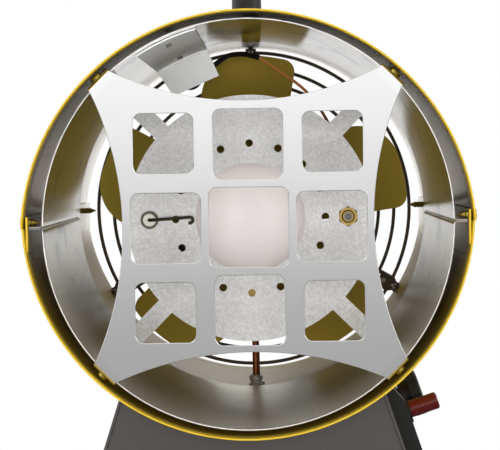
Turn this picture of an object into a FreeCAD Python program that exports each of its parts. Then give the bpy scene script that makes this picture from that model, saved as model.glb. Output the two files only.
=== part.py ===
import math
import os

import FreeCAD
import Part

from FreeCAD import Placement, Rotation, Vector

# Gas forced air heater: a two-part barrel on a flared stand.
# +Z is up, -Y is the hot outlet, the origin is on the floor under the barrel's middle.
# Depths are measured rearwards from the barrel's front rim. Angles in the outlet plane
# run anticlockwise from +X, seen from the front.

SIZES = [
    ("barrel_length", 430.0, "barrel, front rim to rear edge"),
    ("axis_height", 205.0, "barrel axis above the floor"),
    ("casing_radius", 116.0, "outer radius of each half shell"),
    ("casing_offset", 5.6, "each half's arc centre lies this far past the split"),
    ("casing_wall", 1.0, "casing sheet"),
    ("rim_wall", 1.9, "rolled front rim"),
    ("rim_length", 5.0, "depth of the rolled rim"),
    ("lap_height", 6.0, "lower half laps inside the upper half"),
    ("lap_root", 6.0, "lap strip below the split, past the lap"),
    ("lap_gap", 0.2, "clearance of the lap"),
    ("liner_front", 9.5, "depth of the liner's front edge"),
    ("liner_clear", 28.0, "liner's rear edge to the gas pipe"),
    ("liner_length", "=pipe_depth - liner_clear - liner_front", "liner along the barrel"),
    ("liner_space", 8.5, "liner to the casing"),
    ("liner_radius", "=casing_radius - casing_wall - liner_space", "outer radius of the liner"),
    ("liner_wall", 0.8, "liner sheet"),
    ("flange_gap", 0.3, "liner flange to the casing's lap"),
    ("plate_depth", 6.0, "front face of the deflector"),
    ("plate_sheet", 1.0, "deflector sheet"),
    ("plate_corner_radius", "=liner_radius + tab_gap + plate_sheet", "axis to a corner edge"),
    ("plate_corner_width", 15.0, "corner edge and its bent tab"),
    ("plate_sag", 16.7, "hollow of each side of the deflector"),
    ("tab_depth", 14.0, "corner tab behind the deflector"),
    ("tab_gap", 0.2, "corner tab to the liner"),
    ("window_step", 43.0, "window centre to centre"),
    ("window_corner", 31.0, "corner window"),
    ("window_side", 36.0, "window in the middle of a side"),
    ("window_centre", 41.0, "middle window"),
    ("window_round", 4.2, "window corner radius"),
    ("bolt_radius", 2.0, "deflector screw"),
    ("bolt_tail", 3.0, "deflector screw inside the liner"),
    ("bolt_gap", 0.2, "radial clearance of a screw in its hole"),
    ("head_radius", 3.3, "pan head"),
    ("head_height", 2.6, "pan head"),
    ("head_gap", 0.25, "pan head to a curved sheet"),
    ("small_screw_radius", 1.6, "sheet metal screw"),
    ("small_head_radius", 3.0, "sheet metal screw head"),
    ("small_head_height", 1.9, "sheet metal screw head"),
    ("seam_screw_length", 17.0, "seam screw under its head, at the rear"),
    ("seam_screw_short", 8.5, "seam screw at the front"),
    ("seam_screw_front", 15.0, "depth of the front seam screws"),
    ("seam_screw_clear", 20.0, "rear seam screws behind the gas pipe"),
    ("seam_screw_rear", "=pipe_depth + seam_screw_clear", "depth of the rear seam screws"),
    ("thread_step", 1.4, "screw ridges"),
    ("thread_height", 0.35, "screw ridges"),
    ("burner_depth", 150.0, "front face of the burner plate"),
    ("burner_sheet", 1.2, "burner plate"),
    ("burner_radius", 70.6, "burner disc"),
    ("burner_opening", 31.4, "burner opening"),
    ("burner_arm_width", 10.3, "diagonal arm"),
    ("burner_tab_depth", 13.0, "bent arm end"),
    ("burner_tab_gap", 0.4, "arm end to the liner"),
    ("hole_ring", 42.9, "radius of the ring of holes"),
    ("hole_radius", 2.2, "hole in the ring"),
    ("bowl_mouth", 33.5, "inner radius of the bowl"),
    ("bowl_length", 52.0, "bowl behind the burner plate"),
    ("bowl_wall", 1.5, "bowl"),
    ("bowl_bend", 22.0, "inner radius between the bowl's side and back"),
    ("bowl_flange", 39.5, "bowl flange radius"),
    ("electrode_offset", 57.8, "electrode, left of the axis"),
    ("ferrule_radius", 5.1, "electrode ferrule"),
    ("ferrule_length", 3.0, "ferrule in front of the burner plate"),
    ("ceramic_radius", 3.6, "electrode insulator"),
    ("ceramic_front", 4.0, "insulator in front of the burner plate"),
    ("ceramic_length", 30.0, "insulator behind the burner plate"),
    ("rod_radius", 0.9, "electrode rod"),
    ("rod_reach", 25.0, "rod's reach towards the opening"),
    ("rod_stand", 11.0, "rod in front of the burner plate"),
    ("rod_bend", 3.0, "bend radius of the rod"),
    ("rod_rise", 1.5, "rod's rise along its reach"),
    ("rod_hook", 1.5, "bend radius of the rod's hooked end"),
    ("rod_hook_drop", 3.4, "rod's hooked end, downwards"),
    ("rod_hook_back", 2.5, "rod's hooked end, back to the left"),
    ("sensor_offset", 55.8, "flame sensor, right of the axis"),
    ("nut_flats", 10.0, "sensor nut across flats"),
    ("nut_height", 4.5, "sensor nut"),
    ("probe_radius", 2.4, "sensor body"),
    ("probe_length", 18.0, "sensor body behind the burner plate"),
    ("probe_front", 7.0, "sensor tip in front of the burner plate"),
    ("fit_gap", 0.1, "clearance between fixed round pieces"),
    ("strip_left", 122.6, "left edge of the thermostat strip, angle"),
    ("strip_right", 104.2, "right edge of the thermostat strip, angle"),
    ("strip_sheet", 0.8, "thermostat strip"),
    ("strip_gap", 0.2, "strip to the liner"),
    ("strip_inset", 16.5, "strip behind the liner's front edge"),
    ("strip_screw_front", 54.5, "front strip screw behind the liner's front edge"),
    ("strip_screw_rear", 30.0, "rear strip screw before the liner's rear edge"),
    ("flap_inset", 3.0, "cut corner of the flap"),
    ("flap_slot", 9.0, "slot along the flap's fold"),
    ("flap_slot_height", 1.3, "slot along the flap's fold"),
    ("flap_drop", 18.0, "folded flap"),
    ("cutout_radius", 8.0, "overheat cut-out"),
    ("cutout_length", 7.0, "overheat cut-out"),
    ("terminal_reach", 6.0, "cut-out terminal past its body"),
    ("terminal_width", 5.0, "cut-out terminal"),
    ("terminal_sheet", 0.8, "cut-out terminal"),
    ("sleeve_radius", 1.6, "sleeved thermostat lead"),
    ("lead_radius", 0.9, "bare sensor lead"),
    ("pipe_radius", 2.0, "copper gas pipe"),
    ("pipe_clear", 45.0, "gas pipe to the fan's middle plane"),
    ("pipe_depth", "=fan_depth - pipe_clear", "depth where the pipe passes the casing"),
    ("pipe_bend", 16.0, "pipe bend"),
    ("pipe_x", 0.4, "pipe, right of the axis"),
    ("injector_width", 12.0, "injector block"),
    ("injector_height", 13.0, "injector block"),
    ("injector_set", 11.8, "injector's middle behind the burner plate"),
    ("injector_depth", "=burner_depth + burner_sheet + injector_set", "injector's middle"),
    ("nozzle_radius", 3.0, "injector nozzle"),
    ("nozzle_height", 3.0, "nozzle above its block"),
    ("gland_radius", 4.6, "pipe gland flange"),
    ("gland_neck", 3.2, "pipe gland neck"),
    ("gland_height", 7.5, "pipe gland above the casing"),
    ("gland_flange", 1.8, "pipe gland flange thickness"),
    ("gland_waist", 3.5, "pipe gland groove radius"),
    ("gland_waist_height", 1.1, "pipe gland groove"),
    ("gland_slope", 0.9, "slopes between the gland's steps"),
    ("gland_ring", 4.2, "pipe gland collar radius"),
    ("gland_lift", 0.4, "pipe gland to the curved sheet"),
    ("gland_tail", 4.0, "pipe gland under the casing"),
    ("grommet_radius", 4.2, "lead grommet"),
    ("grommet_neck", 2.8, "lead grommet in its hole"),
    ("grommet_height", 2.0, "lead grommet on each side of the sheet"),
    ("grommet_space", 2.0, "gland to grommet"),
    ("lead_x", 1.4, "ignition lead, right of the axis"),
    ("spark_lead_radius", 1.5, "ignition lead"),
    ("fan_clear", 6.65, "fan hub to the motor's boss"),
    ("fan_depth", "=boss_front - fan_clear - hub_length - blade_sheet / 2", "fan's middle plane"),
    ("fan_space", 8.9, "fan tip to the casing's crown"),
    ("fan_radius", "=casing_radius - casing_wall - casing_offset - fan_space", "fan tip"),
    ("blade_count", 5.0, "fan blades"),
    ("blade_first", 92.5, "angle of the first blade"),
    ("blade_tip_half", 34.0, "half width of a blade near its tip"),
    ("blade_root_half", 17.0, "half width of a blade at the hub disc"),
    ("blade_lead_round", 8.0, "rounded outer corner on a blade's clockwise side"),
    ("blade_trail_round", 28.0, "rounded outer corner on a blade's other side"),
    ("blade_pitch", 24.0, "blade pitch"),
    ("blade_sheet", 1.5, "fan sheet"),
    ("fan_disc_radius", 24.0, "fan centre disc"),
    ("hub_radius", 10.0, "fan hub"),
    ("hub_length", 16.0, "fan hub"),
    ("shaft_radius", 3.0, "motor shaft"),
    ("shaft_front", 8.0, "shaft in front of the hub"),
    ("running_gap", 0.05, "radial running clearance"),
    ("motor_radius", 32.0, "fan motor"),
    ("motor_length", 62.0, "fan motor"),
    ("motor_boss_radius", 9.0, "motor front bearing boss"),
    ("motor_boss_length", 8.0, "motor front bearing boss"),
    ("motor_bolt_ring", 23.0, "motor screws"),
    ("motor_screw_length", 11.0, "motor screws"),
    ("motor_hole_room", 1.0, "motor screw hole past its screw"),
    ("bearing_length", 60.0, "shaft inside the motor"),
    ("fan_nut_flats", 10.0, "fan nut across flats"),
    ("fan_nut_height", 5.0, "fan nut"),
    ("guard_inset", 6.0, "guard's rings inside the rear edge"),
    ("guard_depth", "=barrel_length - guard_inset", "depth of the guard's rings"),
    ("guard_space", 2.9, "outer guard ring to the casing's crown"),
    ("guard_radius", "=casing_radius - casing_wall - casing_offset - guard_space", "outer guard ring"),
    ("arm_depth", "=guard_depth - guard_wire - arm_wire + arm_sink", "depth of the guard's arms"),
    ("arm_front", "=arm_depth - arm_wire", "front of the guard's arms"),
    ("guard_step", 10.5, "guard ring to ring"),
    ("guard_rings", 7.0, "guard rings"),
    ("guard_wire", 1.2, "guard ring wire radius"),
    ("arm_wire", 1.6, "guard arm wire radius"),
    ("arm_spread", 8.0, "the two wires of a guard arm"),
    ("arm_sink", 0.6, "weld of a guard ring into an arm"),
    ("motor_plate_radius", 33.0, "plate that carries the motor"),
    ("motor_plate_sheet", 2.0, "plate that carries the motor"),
    ("motor_plate_front", "=arm_front + arm_sink / 3 - motor_plate_sheet", "motor's seat"),
    ("motor_front", "=motor_plate_front - motor_length", "motor can's front"),
    ("boss_front", "=motor_front - motor_boss_length", "motor boss's front"),
    ("clip_width", 7.0, "guard clip"),
    ("clip_gap", 0.8, "clip to the casing's inner face"),
    ("clip_screw_length", 7.0, "screw through a clip"),
    ("washer_height", 1.0, "washer of a guard screw"),
    ("washer_gap", 0.3, "washer to the guard's rings"),
    ("clip_sheet", 1.5, "guard clip"),
    ("clip_depth", 14.0, "guard clip along the casing"),
    ("clip_reach", 13.5, "guard clip towards the axis"),
    ("stand_front", 75.0, "depth of the stand's front panel"),
    ("stand_tail", 65.0, "stand's rear to the barrel's rear edge"),
    ("stand_length", "=barrel_length - stand_front - stand_tail", "stand along the barrel"),
    ("stand_top_half", 70.0, "half width of the stand at the casing"),
    ("stand_foot_half", 104.5, "half width of the stand at its pan"),
    ("stand_sheet", 1.5, "stand sheet"),
    ("stand_gap", 0.3, "stand to the casing"),
    ("stand_top", "=axis_height + casing_offset"
                  " - sqrt((casing_radius + stand_gap)^2 - stand_top_half^2)", "stand's top edge"),
    ("wall_length", "=sqrt((stand_foot_half - stand_top_half)^2 + (stand_top - foot_height)^2)",
     "stand's wall from pan to top"),
    ("stand_drill_room", 12.0, "barrel screw hole past the casing"),
    ("stand_screw_spread", 110.0, "barrel screws from the stand's middle"),
    ("stand_flange", 11.0, "flange that hugs the casing, angle"),
    ("panel_sheet", 1.5, "end panel of the stand"),
    ("panel_recess", 1.0, "end panel inside the stand's end"),
    ("panel_flange", 12.0, "end panel's side flange"),
    ("panel_gap", 0.2, "end panel to the stand's walls"),
    ("panel_screw_length", 6.0, "end panel screws"),
    ("panel_flange_low", 24.0, "end panel's side flange above the pan"),
    ("panel_flange_high", 36.0, "end panel's side flange below the stand's top"),
    ("panel_screw_inset", 9.0, "end panel screws inside the flange's ends"),
    ("panel_screw_low", "=panel_flange_low + panel_screw_inset", "lower screws up the wall"),
    ("panel_screw_high", "=wall_length - panel_flange_high - panel_screw_inset", "upper screws"),
    ("foot_height", 12.0, "rubber foot"),
    ("foot_radius", 12.0, "rubber foot"),
    ("foot_inset_x", 20.0, "foot centre from the pan's side"),
    ("foot_inset_y", 26.0, "foot centre from the pan's end"),
    ("box_thick", 9.0, "control box on the stand's right wall"),
    ("box_margin", 9.5, "control box past its button and knob"),
    ("box_front", "=button_depth - bezel_radius - box_margin", "depth of the control box's front"),
    ("box_length", "=knob_depth + knob_radius + box_margin - box_front", "control box"),
    ("box_below", 26.0, "control box below the knob"),
    ("box_above", 14.0, "control box above the knob"),
    ("box_low", "=knob_rise - box_below", "control box's lower edge up the wall"),
    ("box_high", "=knob_rise + box_above", "control box's upper edge up the wall"),
    ("box_wall", 2.0, "control box"),
    ("box_bevel", 5.3, "control box's sloping top, towards the wall"),
    ("box_slope", 12.0, "control box's sloping top, up the wall"),
    ("knob_depth", 147.0, "depth of the knob"),
    ("knob_drop", 20.6, "knob below the stand's top"),
    ("knob_rise", "=wall_length - knob_drop", "knob up the wall"),
    ("knob_radius", 13.0, "knob"),
    ("knob_reach", 20.2, "knob's face from the wall"),
    ("knob_thick", 6.5, "knurled band"),
    ("knob_bevel", 1.0, "knob's front edge"),
    ("knob_collar", 9.3, "knob collar"),
    ("knob_collar_gap", 1.0, "collar in the control box"),
    ("knob_ridges", 40.0, "knurls round the knob"),
    ("knob_ridge_radius", 0.55, "groove between two knurls"),
    ("knob_travel", 3.0, "knob's push"),
    ("spindle_radius", 3.0, "valve spindle"),
    ("spindle_tip", 3.0, "spindle end under the knob's face"),
    ("valve_width", 22.0, "gas valve up the wall"),
    ("valve_deep", 26.0, "gas valve into the stand"),
    ("valve_length", 36.0, "gas valve along the barrel"),
    ("valve_drop", 4.0, "gas valve's middle below the knob"),
    ("valve_neck", 6.0, "gas valve's neck through the wall"),
    ("valve_neck_reach", 4.0, "gas valve's neck outside the wall"),
    ("valve_port", 6.0, "pipe connections from the valve's middle"),
    ("spindle_root", 15.0, "spindle inside the valve"),
    ("spindle_room", 0.5, "room under the pushed spindle"),
    ("button_space", 7.8, "button's body to the gas valve"),
    ("button_depth", "=knob_depth - valve_length / 2 - piezo_radius - button_space", "push button"),
    ("button_drop", 4.2, "button below the knob"),
    ("button_rise", "=knob_rise - button_drop", "button up the wall"),
    ("button_radius", 4.8, "push button"),
    ("button_reach", 26.5, "button's end from the wall"),
    ("button_bevel", 0.8, "push button's end"),
    ("button_travel", 5.0, "button's push"),
    ("button_root", 9.0, "button inside its body"),
    ("bezel_radius", 7.5, "button body's rim"),
    ("bezel_height", 1.0, "button body's rim"),
    ("piezo_radius", 6.2, "button body"),
    ("piezo_length", 30.0, "button body into the stand"),
    ("inlet_x", 58.0, "gas inlet, right of the middle"),
    ("inlet_z", 52.0, "gas inlet above the floor"),
    ("inlet_radius", 6.5, "gas inlet thread"),
    ("inlet_length", 20.0, "gas inlet thread"),
    ("inlet_collar", 10.0, "gas inlet collar"),
    ("inlet_collar_length", 5.0, "gas inlet collar"),
    ("inlet_root", 9.0, "gas inlet inside the panel"),
    ("inlet_bore", 3.0, "gas inlet bore"),
    ("switch_x", -45.0, "mains switch, left of the middle"),
    ("switch_z", 62.0, "mains switch above the floor"),
    ("switch_width", 21.0, "mains switch opening"),
    ("switch_height", 28.0, "mains switch opening"),
    ("switch_rim", 2.0, "mains switch rim round the opening"),
    ("switch_deep", 24.0, "mains switch into the stand"),
    ("switch_wall", 2.0, "mains switch body"),
    ("switch_well", 16.0, "well for the rocker"),
    ("pivot_deep", 8.0, "rocker pivot behind the switch's rim"),
    ("rocker_crown", 9.5, "rocker's ends in front of its pivot"),
    ("rocker_dip", 7.5, "rocker's middle in front of its pivot"),
    ("rocker_back", 4.0, "rocker behind its pivot"),
    ("rocker_swing", 1.6, "room for the rocker's ends"),
    ("rocker_tilt", 9.0, "rocker to each side"),
    ("rocker_gap", 0.6, "rocker to its frame"),
    ("pivot_radius", 1.2, "rocker pivot"),
    ("cable_x", 8.0, "cable gland, right of the middle"),
    ("cable_z", 52.0, "cable gland above the floor"),
    ("cable_bore", 4.0, "cable gland bore"),
    ("cable_body", 7.0, "cable gland thread"),
    ("cable_cap", 10.0, "cable gland cap"),
    ("cable_cap_length", 14.0, "cable gland cap"),
    ("cable_bevel", 3.0, "cable gland cap's end"),
    ("cable_root", 8.0, "cable gland inside the panel"),
    ("handle_length", 170.0, "handle leg to leg"),
    ("handle_rise", 44.0, "handle's axis above the casing"),
    ("handle_radius", 8.0, "handle bar"),
    ("handle_bend", 22.0, "handle bend"),
    ("handle_foot", 13.0, "handle foot"),
    ("handle_foot_height", 5.0, "handle foot"),
    ("handle_screw_length", 14.0, "handle screws"),
]

doc = FreeCAD.newDocument("GasHeater")
sheet = doc.addObject("Spreadsheet::Sheet", "Sizes")
for row, (alias, value, meaning) in enumerate(SIZES, start=1):
    sheet.setAlias("B%d" % row, alias)
    sheet.set("A%d" % row, alias)
    sheet.set("C%d" % row, meaning)
for row, (alias, value, meaning) in enumerate(SIZES, start=1):
    sheet.set("B%d" % row, str(value))
doc.recompute()


class SheetSizes:
    """Driving dimensions, read from the sheet by alias."""

    def __getattr__(self, alias):
        return float(sheet.get(alias))


mm = SheetSizes()
nodes = {}
X, Y, Z = Vector(1, 0, 0), Vector(0, 1, 0), Vector(0, 0, 1)
NO_TURN = Rotation()


# Places

def at(x, depth, z):
    """Point from x, depth behind the front rim and height above the barrel axis."""
    return Vector(x, depth - mm.barrel_length / 2, mm.axis_height + z)


def on_floor(x, depth, z):
    """Point from x, depth behind the front rim and height above the floor."""
    return Vector(x, depth - mm.barrel_length / 2, z)


def spoke(angle):
    """Unit vector from the barrel axis at an angle in the outlet plane."""
    return Vector(math.cos(math.radians(angle)), 0, math.sin(math.radians(angle)))


def round_about(angle):
    """Rotation about the barrel axis that takes +X to a spoke."""
    return Rotation(Vector(0, -1, 0), angle)


def casing_reach(angle, radius):
    """Distance from the barrel axis to an arc of the casing along a spoke."""
    rise = abs(math.sin(math.radians(angle))) * mm.casing_offset
    return math.sqrt(radius ** 2 - mm.casing_offset ** 2 + rise ** 2) - rise


def casing_inside(angle):
    return casing_reach(angle, mm.casing_radius - mm.casing_wall)


def casing_outside(angle):
    return casing_reach(angle, mm.casing_radius)


# Building blocks

def keep(label, item):
    item.Label = label
    nodes[label] = item
    return item


def feature(name, shape):
    item = doc.addObject("Part::Feature", name)
    item.Shape = shape
    return item


def plane_of(body, role):
    return next(plane for plane in body.Origin.OriginFeatures if plane.Role == role)


def sketch_on(body, name, role, curves, setback=0.0):
    sketch = body.newObject("Sketcher::SketchObject", body.Name + "_" + name)
    sketch.AttachmentSupport = [(plane_of(body, role), "")]
    sketch.MapMode = "FlatFace"
    sketch.AttachmentOffset = Placement(Vector(0, 0, -setback), NO_TURN)
    for curve in curves:
        sketch.addGeometry(curve, False)
    return sketch


def pad(body, name, curves, length, setback=0.0):
    """Outline padded rearwards by a length from the sheet, from a setback behind the body's plane."""
    block = body.newObject("PartDesign::Pad", body.Name + "_" + name)
    block.Profile = sketch_on(body, name + "_outline", "XZ_Plane", curves, setback)
    block.setExpression("Length", length)
    block.Reversed = True
    return block


def pocket(body, name, curves):
    """Windows cut right through a sheet that was padded rearwards."""
    doc.recompute()
    before = body.Shape.Volume
    cut = body.newObject("PartDesign::Pocket", body.Name + "_" + name)
    cut.Profile = sketch_on(body, name + "_outline", "XZ_Plane", curves)
    cut.Type = "ThroughAll"
    cut.Midplane = True
    doc.recompute()
    if not body.Shape.Volume < before:
        raise ValueError(name + " cuts nothing")
    return cut


def new_body(name, place):
    body = doc.addObject("PartDesign::Body", name)
    body.Placement = place
    return body


def turned_body(name, curves, place):
    """Body of revolution about local Z: sketch points are (radius, distance along Z)."""
    body = new_body(name, place)
    ring = body.newObject("PartDesign::Revolution", name + "_turn")
    ring.Profile = sketch_on(body, "profile", "XZ_Plane", curves)
    ring.ReferenceAxis = (ring.Profile[0], ["V_Axis"])
    ring.Angle = 360.0
    return body


def turned(label, curves, place):
    """Sub-part that is one body of revolution."""
    return keep(label, turned_body(label, curves, place))


def drilled(label, item, tools):
    """Item with holes: tools are solids to remove."""
    cutters = feature(label + "_drills", Part.makeCompound(tools))
    cut = doc.addObject("Part::Cut", label + "_drilled")
    cut.Base = item
    cut.Tool = cutters
    return keep(label, cut)


def flat(x, z):
    """Sketch point in the outlet plane."""
    return Vector(x, z, 0)


def line(start, end):
    return Part.LineSegment(start, end)


def closed_lines(points):
    corners = [flat(*point) for point in points]
    return [line(a, b) for a, b in zip(corners, corners[1:] + corners[:1])]


def circle(x, z, radius):
    return Part.Circle(flat(x, z), Vector(0, 0, 1), radius)


def rounded_square(x, z, side, radius):
    """Four sides and four quarter rounds of a square window."""
    half = side / 2
    inner = half - radius
    slant = inner + radius * math.sqrt(0.5)
    curves = []
    for turn in range(4):
        spin = Rotation(Vector(0, 0, 1), 90.0 * turn)
        place = Placement(flat(x, z), spin)
        curves.append(line(place.multVec(flat(half, -inner)), place.multVec(flat(half, inner))))
        corner = [flat(half, inner), flat(slant, slant), flat(inner, half)]
        curves.append(Part.Arc(*[place.multVec(point) for point in corner]))
    return curves


def facing(start, direction):
    """Placement at a point with local Z along a direction."""
    return Placement(start, Rotation(Z, direction))


def rod(start, direction, radius, length):
    return Part.makeCylinder(radius, length, start, direction)


def block_between(low, high):
    extent = high - low
    return Part.makeBox(extent.x, extent.y, extent.z, low)


def fused(shapes):
    return shapes[0].multiFuse(shapes[1:]).removeSplitter()


def screw(seat, direction, radius, length, head_radius, head_height):
    """Pan-head screw with a cross recess. The shank runs from the seat along direction."""
    crown = Vector(0, 0, -head_height)
    head = rod(crown, Z, head_radius, head_height)
    rim = [edge for edge in head.Edges if abs(edge.CenterOfMass.z + head_height) < head_height / 4]
    head = head.makeFillet(head_height * 0.45, [edge for edge in rim if edge.Closed])
    recess_width = head_radius * 0.22
    recess_reach = head_radius * 0.55
    recess_depth = head_height * 0.45
    across = Vector(recess_reach, recess_width, recess_depth)
    upright = Vector(recess_width, recess_reach, recess_depth)
    cross = [block_between(crown - Vector(half.x, half.y, 1), crown + half) for half in (across, upright)]
    solid = head.cut(fused(cross)).fuse(rod(Vector(0, 0, 0), Z, radius, length)).removeSplitter()
    solid.Placement = facing(seat, direction)
    return solid


def bent_path(points, bend):
    """Straight runs joined by tangent arcs: one bend radius, or one for each inner point."""
    bends = bend if isinstance(bend, list) else [bend] * (len(points) - 2)
    edges = []
    start = points[0]
    for before, corner, after, radius in zip(points, points[1:], points[2:], bends):
        back = (before - corner).normalize()
        onward = (after - corner).normalize()
        half = back.getAngle(onward) / 2
        trim = radius / math.tan(half)
        middle = corner + (back + onward).normalize() * (radius / math.sin(half) - radius)
        first = corner + back * trim
        last = corner + onward * trim
        edges.append(Part.LineSegment(start, first).toShape())
        edges.append(Part.Arc(first, middle, last).toShape())
        start = last
    edges.append(Part.LineSegment(start, points[-1]).toShape())
    return Part.Wire(edges)


def tube(points, radius, bend):
    """Round bar along a bent path."""
    path = bent_path(points, bend)
    heading = (points[1] - points[0]).normalize()
    section = Part.Wire([Part.Circle(points[0], heading, radius).toShape()])
    solid = path.makePipeShell([section], True, False)
    expected = math.pi * radius ** 2 * path.Length
    if abs(solid.Volume - expected) > expected * 0.01:
        raise ValueError("a bent bar doesn't have its section's volume")
    return solid


def spoke_rectangle(angle, inner, outer, width):
    """Rectangle along a spoke, as sketch lines in the outlet plane."""
    spin = Rotation(Vector(0, 0, 1), angle)
    half = width / 2
    corners = [(inner, -half), (outer, -half), (outer, half), (inner, half)]
    turned_corners = [spin.multVec(flat(*corner)) for corner in corners]
    return closed_lines([(corner.x, corner.y) for corner in turned_corners])


def rectangle(low_x, low_z, high_x, high_z):
    return closed_lines([(low_x, low_z), (high_x, low_z), (high_x, high_z), (low_x, high_z)])


def easy_bends(points):
    """Bend radii as large as the runs of a lead allow."""
    radii = []
    for before, corner, after in zip(points, points[1:], points[2:]):
        shorter = min((corner - before).Length, (after - corner).Length)
        turn = math.pi - (before - corner).getAngle(after - corner)
        radii.append(0.45 * shorter / math.tan(turn / 2))
    return radii


# Barrel

DIAGONALS = [45.0, 135.0, 225.0, 315.0]
UPPER, LOWER = 1, -1
lap_outer = math.sqrt((mm.casing_radius - mm.casing_wall) ** 2 - (mm.casing_offset + mm.lap_height) ** 2)
lap_outer -= mm.lap_gap
lap_inner = lap_outer - mm.casing_wall
bolt_depth = mm.plate_depth + mm.plate_sheet + mm.tab_depth / 2
bolt_hole = mm.bolt_radius + mm.bolt_gap
small_hole = mm.small_screw_radius + mm.thread_height + mm.bolt_gap
seam_height = mm.lap_height / 2
SEAM_SCREWS = [(mm.seam_screw_front, mm.seam_screw_short), (mm.seam_screw_rear, mm.seam_screw_length)]


def half_ring(radius, wall, offset, side):
    """Arc strip from the split plane: side is UPPER or LOWER."""
    curves = []
    ends = []
    for reach in (radius, radius - wall):
        width = math.sqrt(reach ** 2 - offset ** 2)
        crown = side * (reach - offset)
        curves.append(Part.Arc(flat(-width, 0), flat(0, crown), flat(width, 0)))
        ends.append(width)
    for hand in (-1, 1):
        curves.append(line(flat(hand * ends[0], 0), flat(hand * ends[1], 0)))
    return curves


def casing_half(name, side):
    """Half shell with its rolled front rim."""
    body = new_body(name, Placement(at(0, 0, 0), NO_TURN))
    sheet_outline = half_ring(mm.casing_radius, mm.casing_wall, mm.casing_offset, side)
    pad(body, "sheet", sheet_outline, "Sizes.barrel_length")
    rim_outline = half_ring(mm.casing_radius, mm.rim_wall, mm.casing_offset, side)
    pad(body, "rim", rim_outline, "Sizes.rim_length")
    return body


def seam_drills():
    """Holes through both laps, one from each side at each seam screw."""
    reach = mm.casing_radius
    drills = []
    for depth, length in SEAM_SCREWS:
        for hand in (-1, 1):
            start = at(hand * reach, depth, seam_height)
            drills.append(rod(start, X * -hand, small_hole, length))
    return drills


def bolt_drills(angles):
    """Holes for the deflector's screws."""
    start = at(0, bolt_depth, 0)
    return [rod(start, spoke(angle), bolt_hole, mm.casing_radius) for angle in angles]


def upright_drill(x, depth, radius, side):
    """Hole through the top or the bottom of the casing."""
    return rod(at(x, depth, 0), Z * side, radius, mm.casing_radius)


handle_feet = [(mm.barrel_length + hand * mm.handle_length) / 2 for hand in (-1, 1)]
GUARD_ARMS = [90.0, 210.0, 330.0]
clip_rear = mm.arm_front - mm.fit_gap
clip_front = clip_rear - mm.clip_sheet - mm.clip_depth
clip_depth_middle = clip_front + mm.clip_depth / 2


def guard_drills(angles):
    """Holes for the screws that hold the guard's clips."""
    return [
        rod(at(0, clip_depth_middle, 0), spoke(angle), small_hole, mm.casing_radius)
        for angle in angles
    ]


def lap_strips(body):
    """Strips along the lower half that lap inside the upper half."""
    low = -(mm.lap_height + mm.lap_root)
    strips = rectangle(lap_inner, low, lap_outer, mm.lap_height)
    strips += rectangle(-lap_outer, low, -lap_inner, mm.lap_height)
    setback = mm.rim_length + mm.lap_gap
    pad(body, "laps", strips, "Sizes.barrel_length - Sizes.rim_length - Sizes.lap_gap", setback)


grommet_depth = mm.pipe_depth + mm.gland_radius + mm.grommet_radius + mm.grommet_space
stand_middle = mm.stand_front + mm.stand_length / 2
stand_screw_depths = [stand_middle - mm.stand_screw_spread, stand_middle + mm.stand_screw_spread]
stand_flange_top = math.degrees(math.asin(mm.stand_top_half / (mm.casing_radius + mm.stand_gap)))
stand_screw_angle = stand_flange_top - mm.stand_flange / 2


def casing_foot(angle, hand):
    """Outward normal of the lower half at an angle from straight down."""
    lean = math.radians(angle)
    return Vector(hand * math.sin(lean), 0, -math.cos(lean))


def stand_drills():
    """Holes for the screws that hold the barrel to the stand's flanges."""
    drills = []
    for depth in stand_screw_depths:
        for hand in (-1, 1):
            start = at(0, depth, mm.casing_offset)
            normal = casing_foot(stand_screw_angle, hand)
            drills.append(rod(start, normal, small_hole, mm.casing_radius + mm.stand_drill_room))
    return drills


handle_drills = [upright_drill(0, depth, small_hole, UPPER) for depth in handle_feet]
upper_tools = seam_drills() + guard_drills([90.0]) + handle_drills
drilled("upper_casing", casing_half("upper_shell", UPPER), upper_tools)

lower_shell = casing_half("lower_shell", LOWER)
lap_strips(lower_shell)
lower_tools = seam_drills() + guard_drills([210.0, 330.0]) + stand_drills()
lower_tools.append(upright_drill(mm.pipe_x, mm.pipe_depth, mm.gland_neck + mm.fit_gap, LOWER))
lower_tools.append(upright_drill(mm.lead_x, grommet_depth, mm.grommet_neck + mm.fit_gap, LOWER))
drilled("lower_casing", lower_shell, lower_tools)


def ridged_screw(seat, direction, length):
    """Self-tapping screw: head, ridged shank and point."""
    core = mm.small_screw_radius
    crest = core + mm.thread_height
    count = int((length - 2 * core) / mm.thread_step)
    outline = [(0, 0), (core, 0)]
    for ridge in range(count):
        start = (ridge + 0.5) * mm.thread_step
        outline.append((core, start))
        outline.append((crest, start + mm.thread_step / 2))
    outline.append((core, (count + 0.5) * mm.thread_step))
    outline.append((0, length))
    points = [Vector(radius, 0, height) for radius, height in outline]
    face = Part.Face(Part.makePolygon(points + points[:1]))
    shank = face.revolve(Vector(0, 0, 0), Z, 360)
    head = screw(Vector(0, 0, 0), Z, core, core, mm.small_head_radius, mm.small_head_height)
    solid = head.fuse(shank).removeSplitter()
    solid.Placement = facing(seat, direction)
    return solid


def seam_screws():
    seat = math.sqrt(mm.casing_radius ** 2 - (mm.casing_offset + seam_height - mm.small_head_radius) ** 2)
    seat += mm.fit_gap
    screws = []
    for depth, length in SEAM_SCREWS:
        for hand in (-1, 1):
            screws.append(ridged_screw(at(hand * seat, depth, seam_height), X * -hand, length))
    return Part.makeCompound(screws)


keep("seam_screws", feature("seam_screw_set", seam_screws()))


# Liner

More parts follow.
